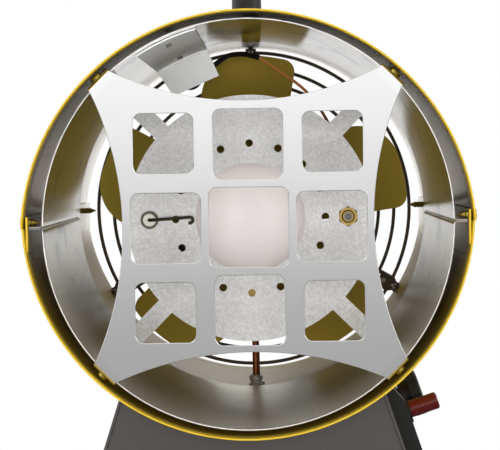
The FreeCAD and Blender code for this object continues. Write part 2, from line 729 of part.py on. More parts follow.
strip_middle = (mm.strip_left + mm.strip_right) / 2
strip_screw_depths = [mm.liner_front + mm.strip_screw_front]
strip_screw_depths.append(mm.liner_front + mm.liner_length - mm.strip_screw_rear)
burner_screw_depth = mm.burner_depth + mm.burner_sheet + mm.burner_tab_depth / 2
burner_hole = mm.small_screw_radius + mm.bolt_gap


def liner_half(name, side):
    """Half shell of the liner with its two seam flanges."""
    body = new_body(name, Placement(at(0, mm.liner_front, 0), NO_TURN))
    pad(body, "sheet", half_ring(mm.liner_radius, mm.liner_wall, 0, side), "Sizes.liner_length")
    root = mm.liner_radius - mm.liner_wall / 2
    tip = lap_inner - mm.flange_gap
    edge = side * mm.liner_wall
    flanges = rectangle(root, min(0, edge), tip, max(0, edge))
    flanges += rectangle(-tip, min(0, edge), -root, max(0, edge))
    pad(body, "flanges", flanges, "Sizes.liner_length")
    return body


def burner_drills(angles):
    return [
        rod(at(0, burner_screw_depth, 0), spoke(angle), burner_hole, mm.liner_radius)
        for angle in angles
    ]


strip_drills = [
    rod(at(0, depth, 0), spoke(strip_middle), burner_hole, mm.liner_radius)
    for depth in strip_screw_depths
]
liner_top_tools = burner_drills(DIAGONALS[:2]) + bolt_drills(DIAGONALS[:2]) + strip_drills
drilled("liner_upper", liner_half("liner_upper_shell", UPPER), liner_top_tools)
liner_low_tools = burner_drills(DIAGONALS[2:]) + bolt_drills(DIAGONALS[2:])
drilled("liner_lower", liner_half("liner_lower_shell", LOWER), liner_low_tools)


# Deflector

def deflector_outline():
    """Square with hollow sides and cut corners."""
    half = mm.plate_corner_width / 2
    curves = []
    for angle in DIAGONALS:
        spin = Rotation(Vector(0, 0, 1), angle)
        first = spin.multVec(flat(mm.plate_corner_radius, -half))
        last = spin.multVec(flat(mm.plate_corner_radius, half))
        curves.append(line(first, last))
        quarter = Rotation(Vector(0, 0, 1), 90)
        following = quarter.multVec(first)
        middle = (last + following) * 0.5
        sunk = middle * (1 - mm.plate_sag / middle.Length)
        curves.append(Part.Arc(last, sunk, following))
    return curves


def deflector_windows():
    """Three rows of three windows: corner, side and middle sizes."""
    sides = {0: mm.window_centre, 1: mm.window_side, 2: mm.window_corner}
    curves = []
    for column in (-1, 0, 1):
        for row_place in (-1, 0, 1):
            side = sides[abs(column) + abs(row_place)]
            centre = (column * mm.window_step, row_place * mm.window_step)
            curves += rounded_square(*centre, side, mm.window_round)
    return curves


deflector = new_body("deflector_sheet", Placement(at(0, mm.plate_depth, 0), NO_TURN))
pad(deflector, "sheet", deflector_outline(), "Sizes.plate_sheet")
pocket(deflector, "windows", deflector_windows())
deflector_tabs = []
for angle in DIAGONALS:
    inner = mm.plate_corner_radius - mm.plate_sheet
    deflector_tabs += spoke_rectangle(angle, inner, mm.plate_corner_radius, mm.plate_corner_width)
pad(deflector, "tabs", deflector_tabs, "Sizes.plate_sheet + Sizes.tab_depth")
drilled("deflector_plate", deflector, bolt_drills(DIAGONALS))


def deflector_screws():
    """Screws through the tabs into the liner, their heads in the gap under the casing."""
    screws = []
    seat = mm.plate_corner_radius + mm.fit_gap
    length = seat - mm.liner_radius + mm.liner_wall + mm.bolt_tail
    for angle in DIAGONALS:
        start = at(0, bolt_depth, 0) + spoke(angle) * seat
        size = (mm.bolt_radius, length, mm.head_radius, mm.head_height)
        screws.append(screw(start, spoke(angle) * -1, *size))
    return Part.makeCompound(screws)


keep("deflector_screws", feature("deflector_screw_set", deflector_screws()))


# Burner

liner_inside = mm.liner_radius - mm.liner_wall
burner_tab_outer = math.sqrt(liner_inside ** 2 - (mm.burner_arm_width / 2) ** 2) - mm.burner_tab_gap
HOLE_STEP = 22.5
HOLE_ANGLES = [HOLE_STEP * step for step in range(16)]


def burner_holes():
    """Opening, ring of holes, and the electrode's and sensor's seats."""
    curves = [circle(0, 0, mm.burner_opening)]
    for angle in HOLE_ANGLES:
        centre = spoke(angle) * mm.hole_ring
        curves.append(circle(centre.x, centre.z, mm.hole_radius))
    curves.append(circle(-mm.electrode_offset, 0, mm.ceramic_radius + mm.fit_gap))
    curves.append(circle(mm.sensor_offset, 0, mm.probe_radius + mm.fit_gap))
    return curves


def burner_strips(inner, outer):
    """The same stretch of all four diagonal arms."""
    curves = []
    for angle in DIAGONALS:
        curves += spoke_rectangle(angle, inner, outer, mm.burner_arm_width)
    return curves


burner = new_body("burner_sheet_metal", Placement(at(0, mm.burner_depth, 0), NO_TURN))
pad(burner, "disc", [circle(0, 0, mm.burner_radius)], "Sizes.burner_sheet")
arm_strips = burner_strips(mm.burner_radius - mm.burner_arm_width, burner_tab_outer)
pad(burner, "arms", arm_strips, "Sizes.burner_sheet")
pocket(burner, "holes", burner_holes())
tab_strips = burner_strips(burner_tab_outer - mm.burner_sheet, burner_tab_outer)
pad(burner, "tabs", tab_strips, "Sizes.burner_sheet + Sizes.burner_tab_depth")
drilled("burner_plate", burner, burner_drills(DIAGONALS))


def burner_screws():
    screws = []
    for angle in DIAGONALS:
        seat = mm.liner_radius + mm.head_gap
        length = seat - burner_tab_outer + 3 * mm.burner_sheet
        start = at(0, burner_screw_depth, 0) + spoke(angle) * seat
        size = (mm.small_screw_radius, length, mm.small_head_radius, mm.small_head_height)
        screws.append(screw(start, spoke(angle) * -1, *size))
    return Part.makeCompound(screws)


keep("burner_screws", feature("burner_screw_set", burner_screws()))


def bowl_outline():
    """Half section of the bowl: flange, straight side, round bend and closed back."""
    mouth, wall, length, bend = mm.bowl_mouth, mm.bowl_wall, mm.bowl_length, mm.bowl_bend
    centre = flat(mouth - bend, length - bend)
    slant = flat(math.sqrt(0.5), math.sqrt(0.5))
    outside = [(mouth, 0), (mm.bowl_flange, 0), (mm.bowl_flange, wall), (mouth + wall, wall)]
    corners = [flat(*point) for point in outside]
    corners.append(flat(mouth + wall, length - bend))
    curves = [line(a, b) for a, b in zip(corners, corners[1:])]
    outer_end = flat(mouth - bend, length + wall)
    curves.append(Part.Arc(corners[-1], centre + slant * (bend + wall), outer_end))
    inner_end = flat(mouth - bend, length)
    back = [outer_end, flat(0, length + wall), flat(0, length), inner_end]
    curves += [line(a, b) for a, b in zip(back, back[1:])]
    inner_start = flat(mouth, length - bend)
    curves.append(Part.Arc(inner_end, centre + slant * bend, inner_start))
    curves.append(line(inner_start, corners[0]))
    return curves


bowl_front = mm.burner_depth + mm.burner_sheet
bowl = turned_body("bowl_cup", bowl_outline(), facing(at(0, bowl_front, 0), Y))
injector_top = -(mm.bowl_mouth + mm.bowl_wall + mm.fit_gap)
nozzle_hole = mm.nozzle_radius + mm.fit_gap
nozzle_drill = rod(at(mm.pipe_x, mm.injector_depth, 0), -Z, nozzle_hole, -injector_top)
drilled("burner_bowl", bowl, [nozzle_drill])

injector_half = Vector(mm.injector_width / 2, mm.injector_width / 2, 0)
injector_seat = at(mm.pipe_x, mm.injector_depth, injector_top)
injector_low = injector_seat - injector_half - Z * mm.injector_height
injector_block = block_between(injector_low, injector_seat + injector_half)
nozzle = rod(injector_seat, Z, mm.nozzle_radius, mm.nozzle_height)
keep("gas_injector", feature("injector_elbow", fused([injector_block, nozzle])))


# Electrode

electrode_at = -mm.electrode_offset
ferrule_bore = mm.ceramic_radius + mm.fit_gap
ferrule = [(ferrule_bore, 0), (mm.ferrule_radius, 0), (mm.ferrule_radius, mm.ferrule_length)]
ferrule.append((ferrule_bore, mm.ferrule_length))
turned("electrode_ferrule", closed_lines(ferrule), facing(at(electrode_at, mm.burner_depth, 0), -Y))

ceramic_total = mm.ceramic_front + mm.burner_sheet + mm.ceramic_length
ceramic_bore = mm.rod_radius + mm.fit_gap
ceramic = [(ceramic_bore, 0), (mm.ceramic_radius, 0), (mm.ceramic_radius, ceramic_total)]
ceramic.append((ceramic_bore, ceramic_total))
ceramic_start = mm.burner_depth - mm.ceramic_front
turned("electrode_ceramic", closed_lines(ceramic), facing(at(electrode_at, ceramic_start, 0), Y))

rod_rear = ceramic_start + ceramic_total + mm.rod_bend
rod_front = mm.burner_depth - mm.rod_stand
rod_tip = electrode_at + mm.rod_reach
rod_points = [
    at(electrode_at, rod_rear, 0),
    at(electrode_at, rod_front, 0),
    at(rod_tip, rod_front, mm.rod_rise),
    at(rod_tip, rod_front, mm.rod_rise - mm.rod_hook_drop),
    at(rod_tip - mm.rod_hook_back, rod_front, mm.rod_rise - mm.rod_hook_drop),
]
rod_bends = [mm.rod_bend, mm.rod_hook, mm.rod_hook]
keep("electrode_rod", feature("spark_rod", tube(rod_points, mm.rod_radius, rod_bends)))


# Flame sensor

def hexagon(flats):
    """Hexagon with a point upwards."""
    radius = flats / math.sqrt(3)
    corners = [spoke(30.0 + 60.0 * corner) * radius for corner in range(6)]
    return closed_lines([(corner.x, corner.z) for corner in corners])


sensor_nut_foot = at(mm.sensor_offset, mm.burner_depth - mm.nut_height, 0)
sensor_nut = new_body("thermocouple_nut", Placement(sensor_nut_foot, NO_TURN))
pad(sensor_nut, "hexagon", hexagon(mm.nut_flats), "Sizes.nut_height")
pocket(sensor_nut, "bore", [circle(0, 0, mm.probe_radius + mm.fit_gap)])
keep("thermocouple_nut", sensor_nut)

probe_total = mm.probe_front + mm.burner_sheet + mm.probe_length
probe_start = mm.burner_depth - mm.probe_front
probe = doc.addObject("Part::Cylinder", "sensor_probe")
probe.setExpression("Radius", "Sizes.probe_radius")
probe.setExpression("Height", "Sizes.probe_front + Sizes.burner_sheet + Sizes.probe_length")
probe.Placement = facing(at(mm.sensor_offset, probe_start, 0), Y)
keep("thermocouple_probe", probe)


# Thermostat strip, cut-out and leads

strip_outer = liner_inside - mm.strip_gap
strip_inner = strip_outer - mm.strip_sheet
strip_front = mm.liner_front + mm.strip_inset
strip_rear = mm.liner_front + mm.liner_length
fold_left = spoke(mm.strip_left) * strip_inner
fold_right = spoke(mm.strip_right) * strip_inner
fold_middle = (fold_left + fold_right) * 0.5
fold_along = (fold_right - fold_left).normalize()
fold_down = Vector(-fold_along.z, 0, fold_along.x) * -1


def in_sketch(point):
    return flat(point.x, point.z)


def strip_outline():
    curves = []
    for radius in (strip_outer, strip_inner):
        ends = [spoke(angle) * radius for angle in (mm.strip_left, strip_middle, mm.strip_right)]
        curves.append(Part.Arc(*[in_sketch(end) for end in ends]))
    for angle in (mm.strip_left, mm.strip_right):
        curves.append(line(in_sketch(spoke(angle) * strip_outer), in_sketch(spoke(angle) * strip_inner)))
    return curves


def flap_outline():
    """Flap under the strip's rear end: curved top, cut lower corner."""
    radius = (strip_outer + strip_inner) / 2
    left, top, right = [spoke(angle) * radius for angle in (mm.strip_left, strip_middle, mm.strip_right)]
    low_right = right + fold_down * mm.flap_drop
    low_left = left + fold_down * mm.flap_drop + fold_along * mm.flap_inset
    edges = [Part.Arc(left, top, right).toShape()]
    corners = [right, low_right, low_left, left]
    edges += [Part.LineSegment(a, b).toShape() for a, b in zip(corners, corners[1:])]
    return Part.Wire(edges)


strip_body = new_body("strip_sheet_metal", Placement(at(0, strip_front, 0), NO_TURN))
pad(strip_body, "strip", strip_outline(), "Sizes.liner_length - Sizes.strip_inset")
flap_face = Part.Face(flap_outline())
flap_face.translate(at(0, strip_rear - mm.strip_sheet, 0))
flap = feature("strip_flap", flap_face.extrude(Y * mm.strip_sheet))
strip_with_flap = doc.addObject("Part::Fuse", "strip_with_flap")
strip_with_flap.Base = strip_body
strip_with_flap.Tool = flap


def fold_slots():
    """Two slots along the fold."""
    slots = []
    for hand in (-1, 1):
        half = Vector(mm.flap_slot / 2, mm.strip_sheet * 2, mm.flap_slot_height / 2)
        slot = block_between(half * -1, half)
        place = at(0, strip_rear, 0) + fold_middle + fold_along * (hand * mm.flap_slot * 0.8)
        slot.Placement = Placement(place, Rotation(X, fold_along))
        slots.append(slot)
    return slots


drilled("thermostat_bracket", strip_with_flap, fold_slots() + strip_drills)


def bracket_screws():
    screws = []
    for depth in strip_screw_depths:
        seat = mm.liner_radius + mm.head_gap
        start = at(0, depth, 0) + spoke(strip_middle) * seat
        length = seat - strip_inner + 2 * mm.strip_sheet
        size = (mm.small_screw_radius, length, mm.small_head_radius, mm.small_head_height)
        screws.append(screw(start, spoke(strip_middle) * -1, *size))
    return Part.makeCompound(screws)


keep("bracket_screws", feature("bracket_screw_set", bracket_screws()))

cutout_centre = at(0, strip_rear, 0) + fold_middle + fold_down * (mm.flap_drop * 0.6)
terminal_centre = cutout_centre + Y * (mm.cutout_length / 2)
terminal_end = mm.cutout_radius + mm.terminal_reach


def cutout():
    """Round body on the flap's rear with a terminal to each side."""
    half = Vector(terminal_end, mm.terminal_sheet / 2, mm.terminal_width / 2)
    terminals = block_between(half * -1, half)
    terminals.Placement = Placement(terminal_centre, Rotation(X, fold_along))
    return fused([rod(cutout_centre, Y, mm.cutout_radius, mm.cutout_length), terminals])


keep("thermostat_body", feature("cutout_body", cutout()))

lead_meeting = at(6.7, strip_rear - 2.0, strip_inner - 9.1)
sleeve_points = [
    terminal_centre + fold_along * (terminal_end + mm.terminal_sheet),
    at(-13.0, strip_rear + 5.0, strip_inner - 6.6),
    at(-3.0, strip_rear + 2.5, strip_inner - 6.0),
    lead_meeting + Vector(-0.4, 0.2, 0.2),
]
sleeve = tube(sleeve_points, mm.sleeve_radius, easy_bends(sleeve_points))
keep("thermostat_lead", feature("sleeved_lead", sleeve))

probe_rear = probe_start + probe_total
sensor_points = [
    at(mm.sensor_offset, probe_rear + mm.fit_gap, 0),
    at(mm.sensor_offset, probe_rear + 20.0, 0),
    at(55.6, 206.0, 23.0),
    at(50.0, 214.0, 50.0),
    at(36.5, 232.0, 73.8),
    lead_meeting,
]
sensor_lead = tube(sensor_points, mm.lead_radius, easy_bends(sensor_points))
keep("thermocouple_lead", feature("bare_lead", sensor_lead))


# Fan and motor

hub_front = mm.fan_depth + mm.blade_sheet / 2
nut_front = mm.fan_depth - mm.blade_sheet / 2 - mm.fan_nut_height
shaft_start = nut_front - mm.shaft_front
shaft_end = mm.boss_front + mm.bearing_length - mm.shaft_radius
MOTOR_SCREWS = [30.0, 150.0, 270.0]


def blade():
    """One paddle: its outline seen from the front, cut from a pitched sheet."""
    tip_reach = math.sqrt(mm.fan_radius ** 2 - mm.blade_tip_half ** 2)
    root = mm.fan_disc_radius * 0.8
    corners = [Vector(root, 0, -mm.blade_root_half), Vector(tip_reach, 0, -mm.blade_tip_half)]
    mirrored = [Vector(corner.x, 0, -corner.z) for corner in corners]
    edges = [
        Part.LineSegment(corners[0], corners[1]).toShape(),
        Part.Arc(corners[1], Vector(mm.fan_radius, 0, 0), mirrored[1]).toShape(),
        Part.LineSegment(mirrored[1], mirrored[0]).toShape(),
        Part.LineSegment(mirrored[0], corners[0]).toShape(),
    ]
    prism = Part.Face(Part.Wire(edges)).extrude(Y * mm.fan_radius)
    prism.translate(Y * (-mm.fan_radius / 2))
    for hand, bend in ((-1, mm.blade_lead_round), (1, mm.blade_trail_round)):
        corner = Vector(tip_reach, 0, hand * mm.blade_tip_half)
        near = [edge for edge in prism.Edges if (edge.CenterOfMass - corner).Length < mm.blade_sheet]
        prism = prism.makeFillet(bend, near)
    half = Vector(0, mm.blade_sheet / 2, mm.fan_radius)
    slab = block_between(half * -1, half + X * (2 * mm.fan_radius))
    slab.rotate(Vector(0, 0, 0), X, mm.blade_pitch)
    return prism.common(slab)


def fan_blades():
    disc = rod(Y * (-mm.blade_sheet / 2), Y, mm.fan_disc_radius, mm.blade_sheet)
    paddles = []
    for step in range(int(mm.blade_count)):
        paddle = blade()
        paddle.rotate(Vector(0, 0, 0), -Y, mm.blade_first + 360.0 * step / mm.blade_count)
        paddles.append(paddle)
    wheel = fused([disc] + paddles)
    wheel = wheel.cut(rod(Y * -mm.fan_radius, Y, mm.shaft_radius + mm.fit_gap, 2 * mm.fan_radius))
    wheel.translate(at(0, mm.fan_depth, 0))
    return wheel


keep("fan_blades", feature("fan_wheel", fan_blades()))

hub_bore = mm.shaft_radius + mm.fit_gap
hub = [(hub_bore, 0), (mm.hub_radius, 0), (mm.hub_radius, mm.hub_length), (hub_bore, mm.hub_length)]
turned("fan_hub", closed_lines(hub), facing(at(0, hub_front, 0), Y))

fan_nut = new_body("fan_nut", Placement(at(0, nut_front, 0), NO_TURN))
pad(fan_nut, "hexagon", hexagon(mm.fan_nut_flats), "Sizes.fan_nut_height")
pocket(fan_nut, "bore", [circle(0, 0, hub_bore)])
keep("fan_nut", fan_nut)

shaft = doc.addObject("Part::Cylinder", "fan_shaft")
shaft.setExpression("Radius", "Sizes.shaft_radius")
shaft.Height = shaft_end - shaft_start
shaft.Placement = facing(at(0, shaft_start, 0), Y)
keep("motor_shaft", shaft)


def motor_outline():
    """Half section: bearing boss, chamfered can and blind shaft bore."""
    bore = mm.shaft_radius + mm.running_gap
    boss, total = mm.motor_boss_length, mm.motor_boss_length + mm.motor_length
    bevel = mm.motor_radius / 16
    points = [
        (bore, 0),
        (mm.motor_boss_radius, 0),
        (mm.motor_boss_radius, boss),
        (mm.motor_radius - bevel, boss),
        (mm.motor_radius, boss + bevel),
        (mm.motor_radius, total),
        (0, total),
        (0, mm.bearing_length),
        (bore, mm.bearing_length),
    ]
    return closed_lines(points)


def motor_screw_seats(depth):
    return [at(0, depth, 0) + spoke(angle) * mm.motor_bolt_ring for angle in MOTOR_SCREWS]


motor_can = turned_body("motor_can", motor_outline(), facing(at(0, mm.boss_front, 0), Y))
motor_rear = mm.motor_plate_front + mm.motor_plate_sheet
motor_hole_length = mm.motor_screw_length + mm.motor_hole_room
motor_drills = [
    rod(seat, -Y, burner_hole, motor_hole_length)
    for seat in motor_screw_seats(motor_rear)
]
drilled("motor_body", motor_can, motor_drills)

small_size = (mm.small_head_radius, mm.small_head_height)
motor_set = [
    screw(seat, -Y, mm.small_screw_radius, mm.motor_screw_length, *small_size)
    for seat in motor_screw_seats(motor_rear)
]
keep("motor_screws", feature("motor_screw_set", Part.makeCompound(motor_set)))


# Rear guard

def arm_end(angle):
    """Outer end of a guard arm, inside the casing."""
    return casing_inside(angle) - mm.arm_wire - mm.clip_sheet


def guard_arm(angle):
    """Hairpin of wire from the motor plate to the casing."""
    half = mm.arm_spread / 2
    root = mm.motor_plate_radius / 3
    reach = arm_end(angle)
    flat_points = [(root, -half), (reach, -half), (reach, half), (root, half)]
    points = [Vector(along, 0, across) for along, across in flat_points]
    wire = tube(points, mm.arm_wire, half * 0.92)
    wire.rotate(Vector(0, 0, 0), -Y, angle)
    wire.translate(at(0, mm.arm_depth, 0))
    return wire


def rear_guard():
    pieces = [rod(at(0, mm.motor_plate_front, 0), Y, mm.motor_plate_radius, mm.motor_plate_sheet)]
    pieces += [guard_arm(angle) for angle in GUARD_ARMS]
    for ring in range(int(mm.guard_rings)):
        radius = mm.guard_radius - ring * mm.guard_step
        pieces.append(Part.makeTorus(radius, mm.guard_wire, at(0, mm.guard_depth, 0), Y))
    return fused(pieces).cut(Part.makeCompound(motor_drills))


keep("rear_guard", feature("guard_wires", rear_guard()))

washer_radius = mm.guard_step / 2 - mm.guard_wire - mm.washer_gap
clamp_radius = mm.guard_radius - mm.guard_step / 2


def guard_clip(angle):
    """Angle of sheet: one leg on the casing, the other in front of the guard arm."""
    outer = casing_inside(angle) - mm.clip_gap
    half = mm.clip_width / 2
    leg = block_between(Vector(outer - mm.clip_sheet, clip_front, -half), Vector(outer, clip_rear, half))
    low = Vector(outer - mm.clip_reach, clip_rear - mm.clip_sheet, -half)
    ear = block_between(low, Vector(outer, clip_rear, half))
    clamp = rod(Vector(clamp_radius, clip_front, 0), Y, burner_hole, mm.clip_depth * 2)
    side = rod(Vector(0, clip_depth_middle, 0), X, small_hole, mm.casing_radius)
    clip = fused([leg, ear]).cut(fused([clamp, side]))
    clip.rotate(Vector(0, 0, 0), -Y, angle)
    clip.translate(at(0, 0, 0))
    return clip


guard_clips = Part.makeCompound([guard_clip(angle) for angle in GUARD_ARMS])
keep("guard_clips", feature("guard_clip_set", guard_clips))


def guard_screws():
    """Screws through the casing into the clips, and washered screws that clamp the arms."""
    screws = []
    for angle in GUARD_ARMS:
        seat = at(0, clip_depth_middle, 0) + spoke(angle) * (casing_outside(angle) + mm.head_gap)
        screws.append(ridged_screw(seat, spoke(angle) * -1, mm.clip_screw_length))
        rear = mm.arm_depth + mm.arm_wire + mm.fit_gap
        start = at(0, rear, 0) + spoke(angle) * clamp_radius
        washer = rod(start, Y, washer_radius, mm.washer_height)
        length = rear - clip_rear + 2 * mm.clip_sheet + mm.washer_height
        bolt = screw(start + Y * mm.washer_height, -Y, mm.small_screw_radius, length, *small_size)
        screws.append(fused([washer, bolt]))
    return Part.makeCompound(screws)


keep("guard_screws", feature("guard_screw_set", guard_screws()))


# Stand

barrel_centre = mm.axis_height + mm.casing_offset
saddle_radius = mm.casing_radius + mm.stand_gap
saddle_back = saddle_radius + mm.stand_sheet
flare = math.atan2(mm.stand_foot_half - mm.stand_top_half, mm.stand_top - mm.foot_height)
flare_degrees = math.degrees(flare)
wall_out = Vector(math.cos(flare), 0, math.sin(flare))
wall_up = Vector(-math.sin(flare), 0, math.cos(flare))
wall_foot = Vector(mm.stand_foot_half, 0, mm.foot_height)
saddle_centre = Vector(0, 0, barrel_centre)
stand_rear = mm.stand_front + mm.stand_length


def on_wall(out, up, depth):
    """Point from the right wall: outwards from its outer face, up from its foot, and depth."""
    place = wall_foot + wall_out * out + wall_up * up
    return on_floor(place.x, depth, place.z)


def wall_meets(inset, radius):
    """Where a line inside the wall meets an arc round the barrel's lower centre."""
    start = wall_foot - wall_out * inset
    to_centre = start - saddle_centre
    half_b = to_centre.dot(wall_up)
    rise = -half_b - math.sqrt(half_b ** 2 - to_centre.dot(to_centre) + radius ** 2)
    return start + wall_up * rise


def wall_at_height(inset, height):
    """Point of a line inside the wall at a height above the floor."""
    start = wall_foot - wall_out * inset
    return start + wall_up * ((height - start.z) / wall_up.z)


def below_barrel(angle, radius):
    """Point round the barrel's lower centre at an angle from straight down, to the right."""
    lean = math.radians(angle)
    return saddle_centre + Vector(math.sin(lean), 0, -math.cos(lean)) * radius


def stand_outline():
    """Pan, two flared walls and the flanges that hug the barrel."""
    low = stand_flange_top - mm.stand_flange
    top = wall_meets(0, saddle_radius)
    saddle_start = math.degrees(math.asin(top.x / saddle_radius))
    inner_top = wall_meets(mm.stand_sheet, saddle_back)
    inner_start = math.degrees(math.asin(inner_top.x / saddle_back))
    arcs = []
    for radius, start in ((saddle_radius, saddle_start), (saddle_back, inner_start)):
        arcs.append([below_barrel(angle, radius) for angle in (start, (start + low) / 2, low)])
    inner_foot = wall_at_height(mm.stand_sheet, mm.foot_height + mm.stand_sheet)
    curves = []
    for hand in (1, -1):
        side = [[Vector(hand * point.x, point.z, 0) for point in arc] for arc in arcs]
        curves += [Part.Arc(*arc) for arc in side]
        curves.append(line(side[0][2], side[1][2]))
        curves.append(line(flat(hand * wall_foot.x, wall_foot.z), side[0][0]))
        curves.append(line(side[1][0], flat(hand * inner_foot.x, inner_foot.z)))
    curves.append(line(flat(-wall_foot.x, wall_foot.z), flat(wall_foot.x, wall_foot.z)))
    curves.append(line(flat(-inner_foot.x, inner_foot.z), flat(inner_foot.x, inner_foot.z)))
    return curves


def wall_drill(up, depth, radius, hand=1):
    """Hole through a wall of the stand, square to it."""
    start = on_wall(-mm.panel_flange, up, depth)
    direction = wall_out
    if hand < 0:
        start = Vector(-start.x, start.y, start.z)
        direction = Vector(-direction.x, 0, direction.z)
    return rod(start, direction, radius, 2 * mm.panel_flange)


panel_fronts = [mm.stand_front + mm.panel_recess, stand_rear - mm.panel_recess - mm.panel_sheet]
flange_middles = [panel_fronts[0] + mm.panel_flange / 2 + mm.panel_sheet]
flange_middles.append(panel_fronts[1] - mm.panel_flange / 2)
PANEL_SCREWS = [
    (up, depth, hand)
    for up in (mm.panel_screw_low, mm.panel_screw_high)
    for depth in flange_middles
    for hand in (-1, 1)
]
panel_drills = [wall_drill(up, depth, burner_hole, hand) for up, depth, hand in PANEL_SCREWS]

stand = new_body("stand_sheet_metal", Placement(on_floor(0, mm.stand_front, 0), NO_TURN))
pad(stand, "folded_sheet", stand_outline(), "Sizes.stand_length")
stand_tools = stand_drills() + panel_drills
stand_tools.append(wall_drill(mm.knob_rise, mm.knob_depth, mm.valve_neck + mm.fit_gap))
stand_tools.append(wall_drill(mm.button_rise, mm.button_depth, mm.piezo_radius + mm.fit_gap))
drilled("base_shell", stand, stand_tools)


def panel_outline(inset):
    """End panel inside the walls, hollowed under the barrel."""
    arc_radius = saddle_back + mm.stand_gap
    top = wall_meets(inset, arc_radius)
    foot = wall_at_height(inset, mm.foot_height + mm.stand_sheet + mm.panel_gap)
    corners = [in_sketch(Vector(hand * point.x, 0, point.z)) for hand in (1, -1) for point in (top, foot)]
    right_top, right_foot, left_top, left_foot = corners
    crown = flat(0, barrel_centre - arc_radius)
    sides = [line(right_top, right_foot), line(right_foot, left_foot), line(left_foot, left_top)]
    return sides + [Part.Arc(left_top, crown, right_top)]


def panel_flanges(inset):
    """Strips along both sides of an end panel."""
    curves = []
    lines = []
    for depth_in in (inset, inset + mm.panel_sheet):
        low = wall_at_height(depth_in, mm.foot_height + mm.panel_flange_low)
        high = wall_at_height(depth_in, mm.stand_top - mm.panel_flange_high)
        lines.append((low, high))
    for hand in (1, -1):
        outer, inner = lines
        ring = [outer[0], outer[1], inner[1], inner[0]]
        curves += closed_lines([(hand * point.x, point.z) for point in ring])
    return curves


def end_panel(name, depth, rear):
    """Flat panel with a flange along each side, turned into the stand."""
    inset = mm.stand_sheet + mm.panel_gap
    body = new_body(name, Placement(on_floor(0, depth, 0), NO_TURN))
    pad(body, "sheet", panel_outline(inset), "Sizes.panel_sheet")
    flanges = pad(body, "flanges", panel_flanges(inset), "Sizes.panel_flange")
    flanges.Reversed = not rear
    if not rear:
        flanges.setExpression("Length", "Sizes.panel_flange + Sizes.panel_sheet")
    return body


drilled("base_front_panel", end_panel("front_panel_sheet", panel_fronts[0], False), panel_drills)

rear_face = panel_fronts[1] + mm.panel_sheet


def through_rear(x, z, radius):
    return rod(on_floor(x, panel_fronts[1] - mm.panel_sheet, z), Y, radius, 3 * mm.panel_sheet)


def switch_cut():
    half = Vector(mm.switch_width / 2 + mm.fit_gap, 2 * mm.panel_sheet, mm.switch_height / 2 + mm.fit_gap)
    middle = on_floor(mm.switch_x, rear_face, mm.switch_z)
    return block_between(middle - half, middle + half)


rear_tools = panel_drills + [
    through_rear(mm.inlet_x, mm.inlet_z, mm.inlet_radius + mm.fit_gap),
    through_rear(mm.cable_x, mm.cable_z, mm.cable_body + mm.fit_gap),
    switch_cut(),
]
drilled("base_rear_panel", end_panel("rear_panel_sheet", panel_fronts[1], True), rear_tools)


def panel_screws():
    screws = []
    for up, depth, hand in PANEL_SCREWS:
        seat = on_wall(0, up, depth)
        direction = wall_out * -1
        if hand < 0:
            seat = Vector(-seat.x, seat.y, seat.z)
            direction = Vector(-direction.x, 0, direction.z)
        screws.append(screw(seat, direction, mm.small_screw_radius, mm.panel_screw_length, *small_size))
    return Part.makeCompound(screws)


keep("panel_screws", feature("panel_screw_set", panel_screws()))


def stand_screws():
    """Screws up through the stand's flanges into the barrel."""
    reach = saddle_back + mm.head_gap
    length = reach - mm.casing_radius + 3 * mm.casing_wall
    screws = []
    for depth in stand_screw_depths:
        for hand in (-1, 1):
            normal = casing_foot(stand_screw_angle, hand)
            seat = at(0, depth, mm.casing_offset) + normal * reach
            screws.append(screw(seat, normal * -1, mm.small_screw_radius, length, *small_size))
    return Part.makeCompound(screws)


keep("base_screws", feature("base_screw_set", stand_screws()))


def rubber_feet():
    across = mm.stand_foot_half - mm.foot_inset_x
    feet = []
    for hand in (-1, 1):
        for depth in (mm.stand_front + mm.foot_inset_y, stand_rear - mm.foot_inset_y):
            start = on_floor(hand * across, depth, 0)
            feet.append(Part.makeCone(mm.foot_radius * 0.85, mm.foot_radius, mm.foot_height, start, Z))
    return Part.makeCompound(feet)


keep("rubber_feet", feature("foot_set", rubber_feet()))


# Controls on the stand's right wall

wall_turn = round_about(flare_degrees)
knob_foot = on_wall(0, mm.knob_rise, mm.knob_depth)
button_foot = on_wall(0, mm.button_rise, mm.button_depth)


def on_wall_frame(up, depth):
    """Placement with local X out of the right wall and local Z up it."""
    return Placement(on_wall(0, up, depth), wall_turn)


def box_prism(inset):
    """Section of the control box, shrunk by its wall, along its length."""
    out = mm.box_thick - inset
    low, high = inset, mm.box_high - mm.box_low - inset
    slope = [(out, high - mm.box_slope), (out - mm.box_bevel, high)]
    section = [(0, low), (out, low)] + slope + [(0, high)]
    points = [Vector(x, inset, z) for x, z in section]
    face = Part.Face(Part.makePolygon(points + points[:1]))
    return face.extrude(Y * (mm.box_length - 2 * inset))


def control_box():
    shell = box_prism(0).cut(box_prism(mm.box_wall))
    shell.Placement = on_wall_frame(mm.box_low, mm.box_front)
    reach = 2 * mm.box_thick
    knob_hole = rod(knob_foot, wall_out, mm.knob_collar + mm.knob_collar_gap, reach)
    button_hole = rod(button_foot, wall_out, mm.piezo_radius + mm.fit_gap, reach)
    return shell.cut(fused([knob_hole, button_hole]))


keep("control_box", feature("control_cover", control_box()))

